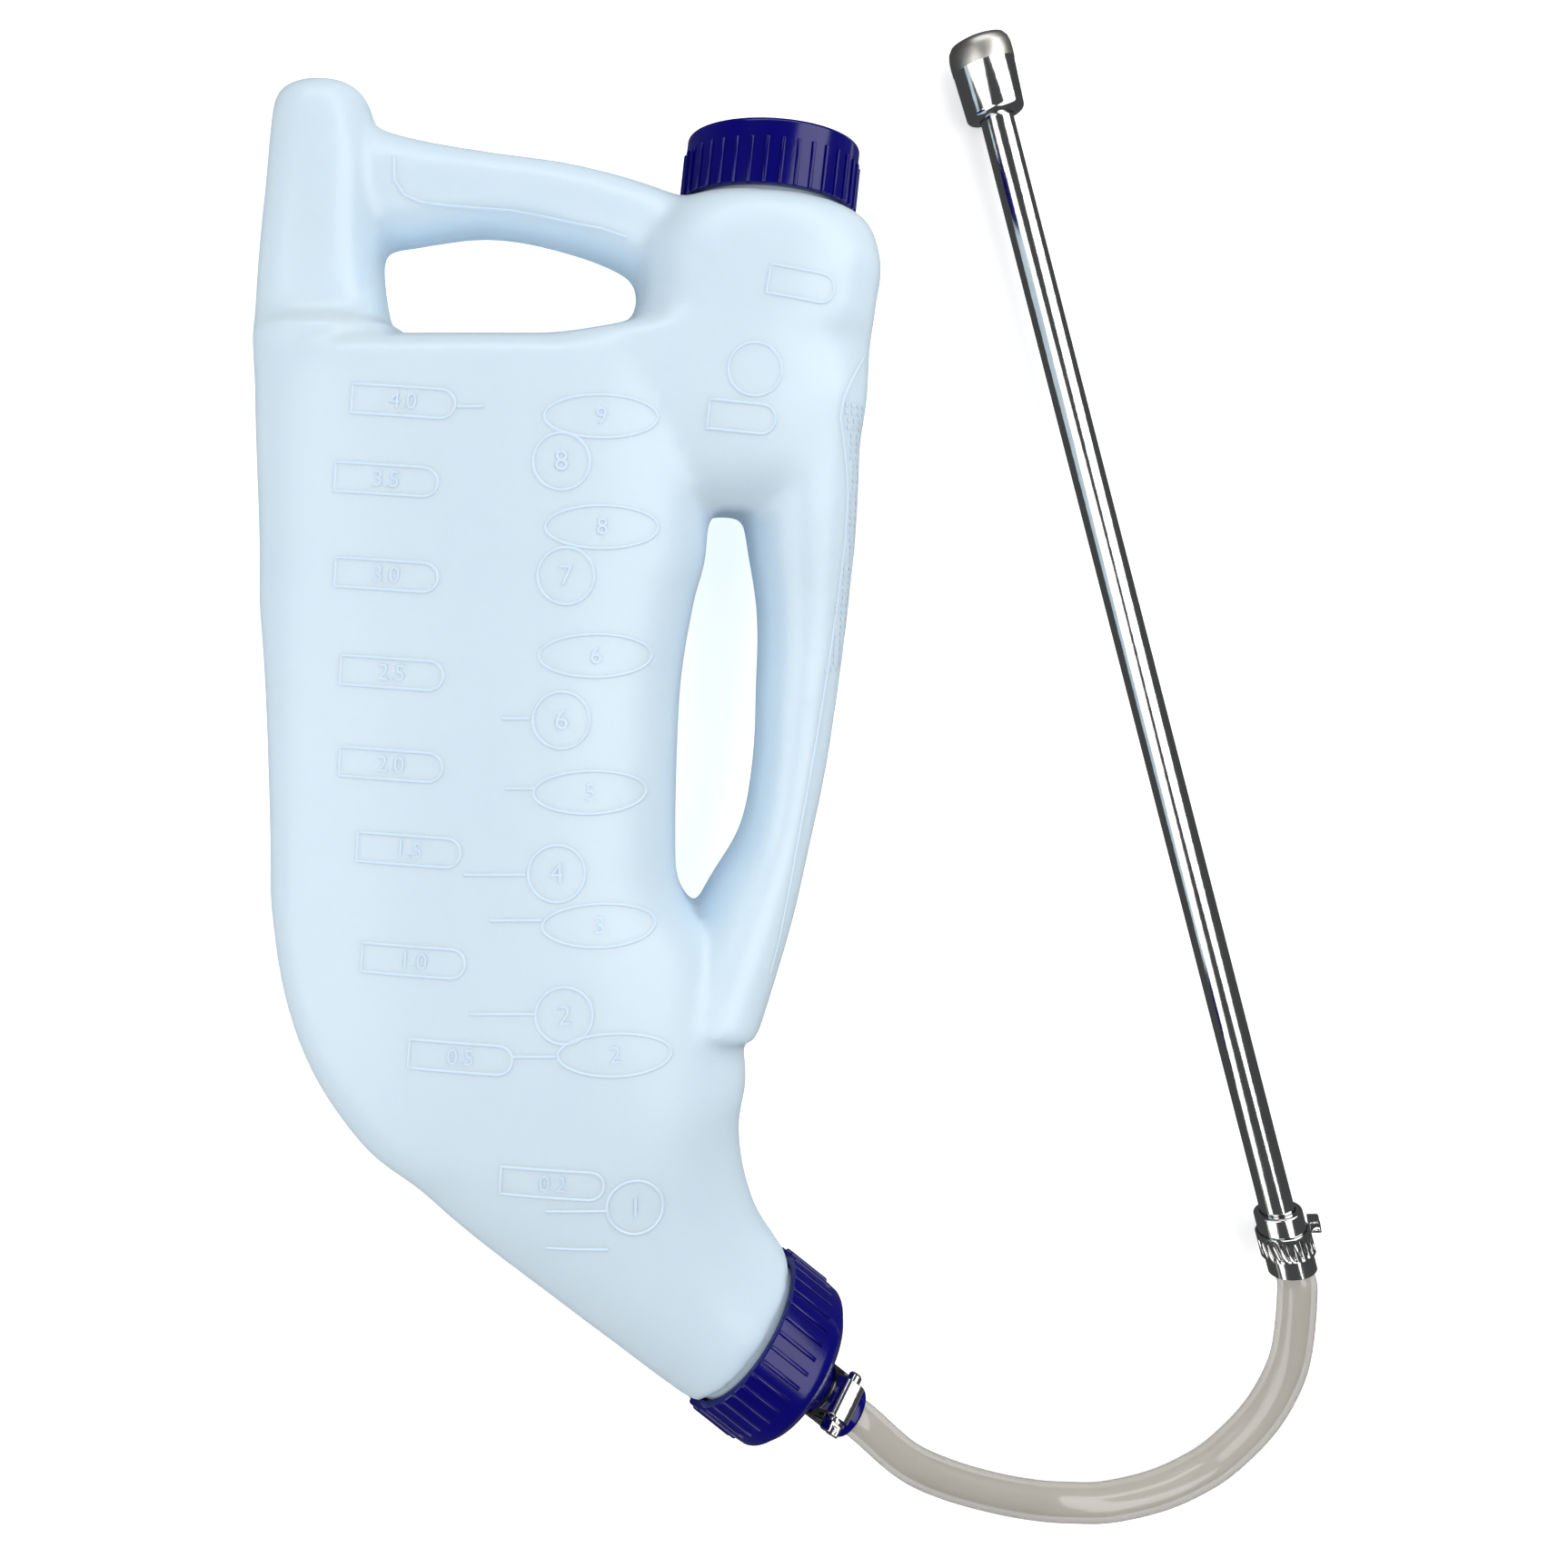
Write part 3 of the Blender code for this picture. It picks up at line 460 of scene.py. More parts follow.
def milky_plastic(name, depth):
    """Blow-moulded polyethylene: pale blue, cloudy and waxy, with the mould's parting line.

    The depth says how much of its light scatters inside: none on the thin raised marks.
    """
    finish = Finish(name)
    where = finish.place()
    cloud = finish.noise(where, 14.0, 3.0)
    streak = finish.noise(finish.place((1.0, 0.12, 1.0)), 60.0, 2.0)
    grain = finish.noise(where, 900.0, 2.0)
    shade = cloud * 0.75 + streak * 0.25
    from_middle = (finish.parts(where)[2] - MID_HEIGHT).size()
    parting_line = 1.0 - (from_middle / 0.0007).at_most(1.0)
    finish.set(
        base_color=finish.between(shade, (0.600, 0.740, 0.872), (0.660, 0.796, 0.920)),
        roughness=0.27 + grain * 0.10,
        subsurface=depth,
        subsurface_radius=(0.6, 0.8, 1.0),
        subsurface_scale=0.006,
        ior=1.5,
        normal=finish.bump(grain * 0.12 + streak * 0.08 + parting_line, 0.6, 0.0004),
    )
    return finish.material


def navy_plastic():
    """Deep blue moulded cap plastic with a bright shine and faint flow marks."""
    finish = Finish("navy_plastic")
    flow = finish.noise(finish.place((1, 1, 0.3)), 90.0, 3.0)
    grain = finish.noise(finish.place(), 1400.0, 1.0)
    finish.set(
        base_color=finish.between(flow, (0.0010, 0.0005, 0.105), (0.0020, 0.0010, 0.160)),
        roughness=0.13 + grain * 0.06,
        specular=0.38,
        normal=finish.bump(grain, 0.06, 0.0003),
    )
    return finish.material


def drawn_steel(name, colour, roughness, scratch=0.10):
    """Stainless with fine drawn lines along the probe and faint smudges."""
    finish = Finish(name)
    lines = finish.noise(finish.place((1, 0.04, 1), PROBE_HEADING + 90), 900.0, 2.0)
    smudge = finish.noise(finish.place(), 55.0, 3.0)
    low = tuple(channel * 0.86 for channel in colour)
    finish.set(
        base_color=finish.between(smudge, low, colour),
        metallic=1.0,
        roughness=roughness + lines * 0.06 + smudge * scratch,
        normal=finish.bump(lines, 0.08, 0.0002),
    )
    return finish.material


def clear_vinyl():
    """Clear hose with a faint warm tint."""
    finish = Finish("clear_hose")
    cloud = finish.noise(finish.place(), 45.0, 2.0)
    finish.set(
        base_color=finish.between(cloud, (0.515, 0.487, 0.430), (0.565, 0.537, 0.478)),
        roughness=0.10 + cloud * 0.06,
        alpha=0.60,
        coat=1.0,
        coat_roughness=0.05,
        ior=1.5,
    )
    return finish.material


def plain_rubber():
    finish = Finish("black_rubber")
    grain = finish.noise(finish.place(), 700.0, 2.0)
    finish.set(
        base_color=finish.between(grain, (0.016, 0.016, 0.016), (0.04, 0.04, 0.04)),
        roughness=0.62 + grain * 0.2,
        normal=finish.bump(grain, 0.15, 0.0003),
    )
    return finish.material


def liner_foam():
    finish = Finish("white_foam")
    cells = finish.noise(finish.place(), 1100.0, 2.0)
    finish.set(
        base_color=finish.between(cells, (0.74, 0.74, 0.70), (0.88, 0.88, 0.85)),
        roughness=0.85,
        normal=finish.bump(cells, 0.25, 0.0004),
    )
    return finish.material


def floor_finish():
    """A pale floor, lit from below like a studio light table."""
    finish = Finish("pale_floor")
    grain = finish.noise(finish.place(), 30.0, 2.0)
    finish.set(
        base_color=finish.between(grain, (0.91, 0.91, 0.91), (0.94, 0.94, 0.94)),
        roughness=0.9,
        specular=0.1,
        emission=(1.0, 1.0, 1.0, 1),
        emission_strength=0.50,
    )
    return finish.material


def object_from(shape, name, finish=None, placed=None, smooth_angle=40.0):
    """Turns a bmesh into an object at the origin, with its place in its mesh."""
    if placed is not None:
        bmesh.ops.transform(shape, matrix=placed, verts=shape.verts)
    bmesh.ops.recalc_face_normals(shape, faces=shape.faces)
    mesh = bpy.data.meshes.new(name)
    shape.to_mesh(mesh)
    shape.free()
    if smooth_angle:
        mesh.shade_smooth()
        mesh.set_sharp_from_angle(angle=math.radians(smooth_angle))
    made = bpy.data.objects.new(name, mesh)
    bpy.context.collection.objects.link(made)
    if finish is not None:
        mesh.materials.append(finish)
    return made


def finished(piece, body, *nodes, slot=None):
    """Rides the piece on its body, in place of the CAD nodes named."""
    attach(piece, body)
    if nodes:
        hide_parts(*nodes)
    return piece


def baked(piece):
    """Applies every modifier and drops what they used."""
    graph = bpy.context.evaluated_depsgraph_get()
    mesh = bpy.data.meshes.new_from_object(piece.evaluated_get(graph))
    helpers = [step.object for step in piece.modifiers if getattr(step, "object", None)]
    piece.modifiers.clear()
    old = piece.data
    piece.data = mesh
    bpy.data.meshes.remove(old)
    for helper in helpers:
        bpy.data.objects.remove(helper)
    return piece


def cut(piece, cutter, operation="DIFFERENCE"):
    step = piece.modifiers.new(cutter.name, "BOOLEAN")
    step.operation = operation
    step.object = cutter
    cutter.hide_render = True


def join(*shapes):
    """One bmesh that holds all of them."""
    whole = bmesh.new()
    for shape in shapes:
        part = bpy.data.meshes.new("part")
        shape.to_mesh(part)
        whole.from_mesh(part)
        bpy.data.meshes.remove(part)
        shape.free()
    return whole


def stack(rings):
    """A closed solid through rings that have equally many points."""
    shape = bmesh.new()
    place = shape.verts.layers.int.new("place")
    circle = bmesh.ops.create_circle(shape, cap_ends=True, radius=1, segments=len(rings[0]))
    for index, vert in enumerate(circle["verts"]):
        vert[place] = index
        vert.co = rings[0][index]
    shape.faces.ensure_lookup_table()
    face = shape.faces[0]
    for ring in rings[1:]:
        cap = [face] + list(face.edges) + list(face.verts)
        for item in bmesh.ops.extrude_face_region(shape, geom=cap)["geom"]:
            if isinstance(item, bmesh.types.BMVert):
                item.co = ring[item[place]]
            elif isinstance(item, bmesh.types.BMFace):
                face = item
    return shape


def lathe(profile, points=96, closed=True):
    """A skin spun round local Z from (radius, height) pairs; closed joins the last pair to the first."""
    shape = bmesh.new()
    verts = [shape.verts.new((radius, 0, height)) for radius, height in profile]
    ends = zip(verts, verts[1:] + verts[:1]) if closed else zip(verts, verts[1:])
    edges = [shape.edges.new(pair) for pair in ends]
    bmesh.ops.spin(shape, geom=verts + edges, cent=(0, 0, 0), axis=(0, 0, 1), angle=2 * math.pi,
                   steps=points, use_merge=True, use_duplicate=False)
    bmesh.ops.remove_doubles(shape, verts=shape.verts, dist=1e-6)
    return shape


def arc(middle, radius, start, end, steps=5):
    """Points round a corner, in degrees, for a lathe profile."""
    turns = [math.radians(start + (end - start) * index / steps) for index in range(steps + 1)]
    return [(middle[0] + radius * math.cos(turn), middle[1] + radius * math.sin(turn)) for turn in turns]


def thread_ridge(foot_radius, crest_radius, width, lead, turns, start, per_turn):
    """A screw thread's ridge round local Z, its ends closed flat."""
    shape = bmesh.new()
    corners = [
        (foot_radius, start - width / 2),
        (crest_radius, start - width / 5),
        (crest_radius, start + width / 5),
        (foot_radius, start + width / 2),
    ]
    verts = [shape.verts.new((radius, 0, height)) for radius, height in corners]
    edges = [shape.edges.new((verts[i], verts[(i + 1) % 4])) for i in range(4)]
    steps = round(turns * per_turn)
    bmesh.ops.spin(shape, geom=verts + edges, cent=(0, 0, 0), axis=(0, 0, 1),
                   dvec=(0, 0, lead * turns / steps), angle=2 * math.pi * turns, steps=steps,
                   use_merge=False, use_duplicate=False)
    bmesh.ops.holes_fill(shape, edges=[edge for edge in shape.edges if edge.is_boundary], sides=4)
    bmesh.ops.triangulate(shape, faces=shape.faces)
    return shape


def smooth_value(values, at):
    """A Catmull-Rom curve through the values, with one span between neighbours."""
    span = min(int(at), len(values) - 2)
    t = at - span
    before = values[max(span - 1, 0)]
    here = values[span]
    after = values[span + 1]
    beyond = values[min(span + 2, len(values) - 1)]
    return 0.5 * (2 * here + (after - before) * t
                  + (2 * before - 5 * here + 4 * after - beyond) * t * t
                  + (3 * here - before - 3 * after + beyond) * t * t * t)


def section(station, inset):
    """The rounded outline of a hollow form at one station, drawn in by the inset."""
    x, y, heading, half_width, half_depth, squareness = station
    side = direction(heading - 90)
    middle = Vector((x, y, MID_HEIGHT))
    ring = []
    for index in range(SECTION_POINTS):
        angle = 2 * math.pi * (index + 0.5) / SECTION_POINTS
        across = math.copysign(abs(math.cos(angle)) ** (2 / squareness), math.cos(angle))
        out = math.copysign(abs(math.sin(angle)) ** (2 / squareness), math.sin(angle))
        reach = side * across * (half_width - inset)
        ring.append(middle + reach + Vector((0, 0, out * (half_depth - inset))))
    return ring


def hollow_form(stations, inset):
    """A smooth solid through the stations; the inset makes it smaller all over."""
    rings = []
    last = len(stations) - 1
    columns = list(zip(*stations))
    for step in range(last * STEPS_PER_SPAN + 1):
        at = step / STEPS_PER_SPAN
        station = [smooth_value(values, at) for values in columns]
        ahead = direction(station[2]) * inset
        if step == 0:
            station[0] += ahead.x
            station[1] += ahead.y
        if step == last * STEPS_PER_SPAN:
            station[0] -= ahead.x
            station[1] -= ahead.y
        rings.append(section(station, inset))
    shape = stack(rings)
    bmesh.ops.triangulate(shape, faces=shape.faces)
    return shape


def blended_forms(name, inset, voxel):
    """Tank, tower, column and grips melted into one smooth skin."""
    wide = NECK_RADIUS + SHOULDER
    outlet = (*OUTLET_AXIS.translation.xy, -38.5, wide, wide, 2.0)
    fill = (*FILL_AXIS.translation.xy, 84.0, wide, wide, 2.0)
    forms = [TANK + [outlet], TOWER + [fill], COLUMN, TOP_GRIP, SIDE_GRIP]
    skin = object_from(join(*[hollow_form(stations, inset) for stations in forms]), name)
    melt = skin.modifiers.new("melt", "REMESH")
    melt.mode = "VOXEL"
    melt.voxel_size = voxel
    relax = skin.modifiers.new("relax", "SMOOTH")
    relax.factor = 0.5
    relax.iterations = round((BLEND_WIDTH / voxel) ** 2)
    return baked(skin)


def back_plane():
    below = bmesh.new()
    bmesh.ops.create_cube(below, size=1)
    bmesh.ops.translate(below, verts=below.verts, vec=(0, 0, -0.5))
    return object_from(below, "back_plane")


def make_bottle(finish):
    """The shell: outer skin, cavity, both threaded necks, and the flat it lies on."""
    bottle = blended_forms("bottle_shell", 0.0, SKIN_VOXEL)
    cut(bottle, blended_forms("cavity", WALL, CAVITY_VOXEL))
    for name, placed in (("fill", FILL_AXIS), ("outlet", OUTLET_AXIS)):
        neck = lathe([
            (NECK_BORE_RADIUS, -NECK_ROOT),
            (NECK_RADIUS, -NECK_ROOT),
            (NECK_RADIUS, NECK_HEIGHT - 0.0006),
            (NECK_RADIUS - 0.0006, NECK_HEIGHT),
            (NECK_BORE_RADIUS + 0.0005, NECK_HEIGHT),
            (NECK_BORE_RADIUS, NECK_HEIGHT - 0.0005),
        ])
        bore = lathe([(0, -2.4 * NECK_ROOT), (NECK_BORE_RADIUS + GAP / 2, -2.4 * NECK_ROOT),
                      (NECK_BORE_RADIUS + GAP / 2, 2 * NECK_ROOT), (0, 2 * NECK_ROOT)], closed=False)
        ridge = thread_ridge(NECK_RADIUS - 0.0003, NECK_RADIUS + THREAD_HEIGHT, 0.0022, THREAD_LEAD,
                             THREAD_TURNS, THREAD_START, THREAD_POINTS)
        cut(bottle, object_from(bore, name + "_bore", placed=placed))
        cut(bottle, object_from(neck, name + "_neck", placed=placed), "UNION")
        cut(bottle, object_from(ridge, name + "_ridge", placed=placed), "UNION")
    cut(bottle, back_plane())
    baked(bottle)
    bottle.data.materials.clear()
    bottle.data.materials.append(finish)
    bottle.data.shade_smooth()
    bottle.data.set_sharp_from_angle(angle=math.radians(50))
    return finished(bottle, "base", "bottle", slot="milky_plastic")


def surface_of(piece):
    """A tree that finds the front surface of a piece."""
    shape = bmesh.new()
    shape.from_mesh(piece.data)
    tree = BVHTree.FromBMesh(shape)
    shape.free()
    return tree


def front_height(tree, x, y):
    """How high the front surface is at that place, or None beside it."""
    return tree.ray_cast(Vector((x, y, 1.0)), Vector((0, 0, -1)))[0]


def lay_on_front(shape, tree):
    """Bends a flat shape onto the bottle's front, its foot a little under the surface."""
    for vert in shape.verts:
        hit = front_height(tree, vert.co.x, vert.co.y)
        if hit is not None:
            vert.co.z += hit.z - EMBOSS_FOOT


def outline_ridge(points, closed=True):
    """A raised line with a rounded top along points in the plane, its foot at z = 0."""
    count = len(points)
    tall = EMBOSS_HEIGHT + EMBOSS_FOOT
    profile = [(-0.5, 0.0), (-0.36, 0.45), (-0.18, 0.88), (0.0, 1.0), (0.18, 0.88), (0.36, 0.45), (0.5, 0.0)]
    shape = bmesh.new()
    loops = []
    for index, point in enumerate(points):
        before = points[(index - 1) % count] if closed or index else point
        after = points[(index + 1) % count] if closed or index < count - 1 else point
        along = (after - before).normalized()
        side = Vector((along.y, -along.x, 0)) * EMBOSS_WIDTH
        ring = [shape.verts.new(point + side * across + Vector((0, 0, up * tall))) for across, up in profile]
        loops.append([shape.edges.new(pair) for pair in zip(ring, ring[1:] + ring[:1])])
    pairs = zip(loops, loops[1:] + loops[:1]) if closed else zip(loops, loops[1:])
    for first, second in pairs:
        bmesh.ops.bridge_loops(shape, edges=first + second)
    if not closed:
        bmesh.ops.contextual_create(shape, geom=loops[0])
        bmesh.ops.contextual_create(shape, geom=loops[-1])
    return shape


def spaced(points, closed=True, step=0.0018):
    """Extra points along an outline, so that it can follow a curved surface."""
    dense = []
    ends = points[1:] + points[:1] if closed else points[1:]
    for first, second in zip(points, ends):
        parts = max(1, round((second - first).length / step))
        dense += [first.lerp(second, index / parts) for index in range(parts)]
    return dense if closed else dense + points[-1:]


def rounded_tag(middle, size, slope, steps=10):
    """The outline of a scale tag: square on the left, round on the right."""
    half = Vector((size[0] / 2, size[1] / 2, 0))
    points = []
    for index in range(steps + 1):
        turn = math.radians(-90 + 180 * index / steps)
        points.append(Vector((half.x - half.y + half.y * math.cos(turn), half.y * math.sin(turn), 0)))
    points += [Vector((-half.x, half.y, 0)), Vector((-half.x, -half.y, 0))]
    spin = Matrix.Rotation(math.radians(slope), 3, "Z")
    return [middle + spin @ point for point in spaced(points)]


def ellipse(middle, half_width, half_height, steps=44):
    turns = [2 * math.pi * index / steps for index in range(steps)]
    return [middle + Vector((half_width * math.cos(turn), half_height * math.sin(turn), 0)) for turn in turns]


def numeral(text, middle, size, slope=0.0):
    """Raised plain figures, as a flat mesh that stands out of z = 0."""
    curve = bpy.data.curves.new("figure", "FONT")
    curve.body = text
    curve.size = size
    curve.align_x = "CENTER"
    curve.align_y = "CENTER"
    curve.extrude = (EMBOSS_HEIGHT + EMBOSS_FOOT) / 2
    curve.resolution_u = 3
    rise = Vector((0, 0, curve.extrude))
    holder = bpy.data.objects.new("figure", curve)
    mesh = bpy.data.meshes.new_from_object(holder)
    bpy.data.objects.remove(holder)
    shape = bmesh.new()
    shape.from_mesh(mesh)
    bpy.data.meshes.remove(mesh)
    bmesh.ops.remove_doubles(shape, verts=shape.verts, dist=1e-6)
    placed = Matrix.Translation(middle + rise) @ Matrix.Rotation(math.radians(slope), 4, "Z")
    bmesh.ops.transform(shape, matrix=placed, verts=shape.verts)
    return shape


def flat_pixel(u, v, height=FRONT_HEIGHT):
    """A photograph pixel's place on a surface at that height, laid down to z = 0."""
    place = from_pixel(u, v, height)
    place.z = 0
    return place


def make_scale(tree, finish):
    """The raised scale: tags at the left, ovals and rings at the right, and leader lines."""
    shapes = []
    for u, v, text in TAGS:
        middle = flat_pixel(u, v)
        shapes.append(outline_ridge(rounded_tag(middle, TAG_SIZE, TAG_SLOPE)))
        shapes.append(numeral(text, middle, TAG_FIGURE, TAG_SLOPE))
    for u, v, text in OVALS:
        middle = flat_pixel(u, v)
        shapes.append(outline_ridge(ellipse(middle, OVAL_HALF_WIDTH, OVAL_HALF_HEIGHT)))
        shapes.append(numeral(text, middle, OVAL_FIGURE))
    for u, v, text in CIRCLES:
        middle = flat_pixel(u, v)
        shapes.append(outline_ridge(ellipse(middle, CIRCLE_RADIUS, CIRCLE_RADIUS)))
        shapes.append(numeral(text, middle, CIRCLE_FIGURE))
    for start, end, v in LEADERS:
        shapes.append(outline_ridge(spaced([flat_pixel(start, v), flat_pixel(end, v)], False), False))
    whole = join(*shapes)
    lay_on_front(whole, tree)
    return finished(object_from(whole, "scale_marks", finish), "base", slot="milky_plastic")


def make_plain_outlines(tree, finish):
    """Blank frames on the tower and the edge of the top handle's panel."""
    u, v, radius = TOWER_RING
    shapes = [outline_ridge(ellipse(flat_pixel(u, v), radius, radius))]
    for u, v, slope in TOWER_TAGS:
        shapes.append(outline_ridge(rounded_tag(flat_pixel(u, v), TOWER_TAG_SIZE, slope)))
    panel = [flat_pixel(u, v, GRIP_FRONT) for u, v in HANDLE_PANEL]
    shapes.append(outline_ridge(spaced(panel, False), False))
    whole = join(*shapes)
    lay_on_front(whole, tree)
    return finished(object_from(whole, "plain_outlines", finish), "base", slot="milky_plastic")


def make_grip_pad(tree, finish):
    """The studded pad down the side handle's outer edge, inside a raised line."""
    edge = [flat_pixel(u, v, GRIP_FRONT) for u, v in PAD_EDGE]
    shapes = [outline_ridge(spaced(edge, False), False)]
    for row in range(STUD_ROWS):
        across = edge[2].y - STUD_STEP * (row + 1)
        left = max(point.x for first, point in zip(edge, edge[1:]) if first.y >= across >= point.y)
        for column in range(STUD_COLUMNS):
            place = Vector((left + STUD_STEP * (column + 0.9), across, 0))
            if front_height(tree, place.x + STUD_SIZE, place.y) is None:
                continue
            stud = bmesh.new()
            bmesh.ops.create_cube(stud, size=1)
            tall = EMBOSS_FOOT + EMBOSS_HEIGHT
            bmesh.ops.scale(stud, verts=stud.verts, vec=(STUD_SIZE, STUD_SIZE, tall))
            bmesh.ops.translate(stud, verts=stud.verts, vec=place + Vector((0, 0, tall / 2)))
            shapes.append(stud)
    whole = join(*shapes)
    lay_on_front(whole, tree)
    return finished(object_from(whole, "grip_pad", finish), "base", slot="milky_plastic")


def ribbed_skirt():
    """Narrow rounded ribs round a cap's skirt."""
    ribs = []
    for index in range(RIB_COUNT):
        rib = bmesh.new()
        bmesh.ops.create_cube(rib, size=1)
        bmesh.ops.scale(rib, verts=rib.verts, vec=(2 * RIB_HEIGHT, RIB_WIDTH, RIB_LENGTH))
        crest = [edge for edge in rib.edges if all(vert.co.x > 0 for vert in edge.verts)]
        bmesh.ops.bevel(rib, geom=crest, offset=RIB_WIDTH * 0.36, segments=3, profile=0.5,
                        affect="EDGES", material=-1)
        bmesh.ops.translate(rib, verts=rib.verts, vec=(CAP_RADIUS, 0, CAP_LIFT + RIB_LENGTH / 2))
        bmesh.ops.rotate(rib, verts=rib.verts, cent=(0, 0, 0),
                         matrix=Matrix.Rotation(2 * math.pi * index / RIB_COUNT, 3, "Z"))
        ribs.append(rib)
    return join(*ribs)


def cap_thread():
    return thread_ridge(CAP_BORE_RADIUS + 0.0003, NECK_RADIUS + 0.0005, 0.0022, THREAD_LEAD,
                        THREAD_TURNS, THREAD_START + THREAD_LEAD / 2, THREAD_POINTS)


def make_fill_cap(finish):
    shell = lathe([
        (0, CAP_INSIDE),
        (CAP_BORE_RADIUS - 0.0004, CAP_INSIDE),
        (CAP_BORE_RADIUS, CAP_INSIDE - 0.0004),
        (CAP_BORE_RADIUS, CAP_LIFT),
        (CAP_RADIUS - 0.0003, CAP_LIFT),
        (CAP_RADIUS, CAP_LIFT + 0.0003),
        (CAP_RADIUS, CAP_HEIGHT - 0.0016),
        *arc((CAP_RADIUS - 0.0016, CAP_HEIGHT - 0.0016), 0.0016, 0, 90),
        (CAP_RADIUS - 0.0042, CAP_HEIGHT),
        (CAP_RADIUS - 0.0048, CAP_HEIGHT - 0.0005),
        (0, CAP_HEIGHT - 0.0005),
    ], closed=False)
    cap = object_from(join(shell, ribbed_skirt(), cap_thread()), "fill_cap_shell", finish, FILL_AXIS)
    return finished(cap, "fill_turn", "fill_cap", slot="navy_plastic")


def make_outlet_cap(finish):
    lip_start = SPOUT_BAND_START + BAND_WIDTH + GAP
    shell = lathe([
        (SPOUT_BORE_RADIUS, HOSE_SEAT),
        (SPOUT_BORE_RADIUS, CAP_HEIGHT + 0.0070),
        (0.0190, CAP_HEIGHT + 0.0015),
        (0.0190, CAP_INSIDE),
        (CAP_BORE_RADIUS, CAP_INSIDE),
        (CAP_BORE_RADIUS, CAP_LIFT),
        (CAP_RADIUS - 0.0003, CAP_LIFT),
        (CAP_RADIUS, CAP_LIFT + 0.0003),
        (CAP_RADIUS - 0.0002, CAP_HEIGHT - 0.0040),
        *arc((CAP_RADIUS - 0.0032, CAP_HEIGHT - 0.0026), 0.0030, 20, 58),
        (0.0278, CAP_HEIGHT + 0.0022),
        (0.0262, CAP_HEIGHT + 0.0030),
        (0.0180, CAP_HEIGHT + 0.0052),
        (0.0112, CAP_HEIGHT + 0.0078),
        *arc((SPOUT_RADIUS + 0.0022, CAP_HEIGHT + 0.0102), 0.0022, 250, 180),
        (SPOUT_RADIUS, lip_start),
        (SPOUT_RADIUS + SPOUT_LIP * 0.8, lip_start + 0.0004),
        (SPOUT_RADIUS + SPOUT_LIP, lip_start + 0.0014),
        (SPOUT_RADIUS + SPOUT_LIP, SPOUT_END - 0.0022),
        *arc((SPOUT_RADIUS + SPOUT_LIP - 0.0010, SPOUT_END - 0.0010), 0.0010, 0, 90, 5),
        (HOSE_RADIUS + SPOUT_MOUTH_FLARE, SPOUT_END),
        (HOSE_RADIUS + SPOUT_MOUTH_FLARE * 0.5, SPOUT_END - 0.0022),
        (HOSE_RADIUS + GAP, SPOUT_END - 0.0060),
        (HOSE_RADIUS + GAP, HOSE_SEAT),
    ])
    cap = object_from(join(shell, ribbed_skirt(), cap_thread()), "outlet_cap_shell", finish, OUTLET_AXIS)
    return finished(cap, "outlet_turn", "outlet_cap", slot="navy_plastic")


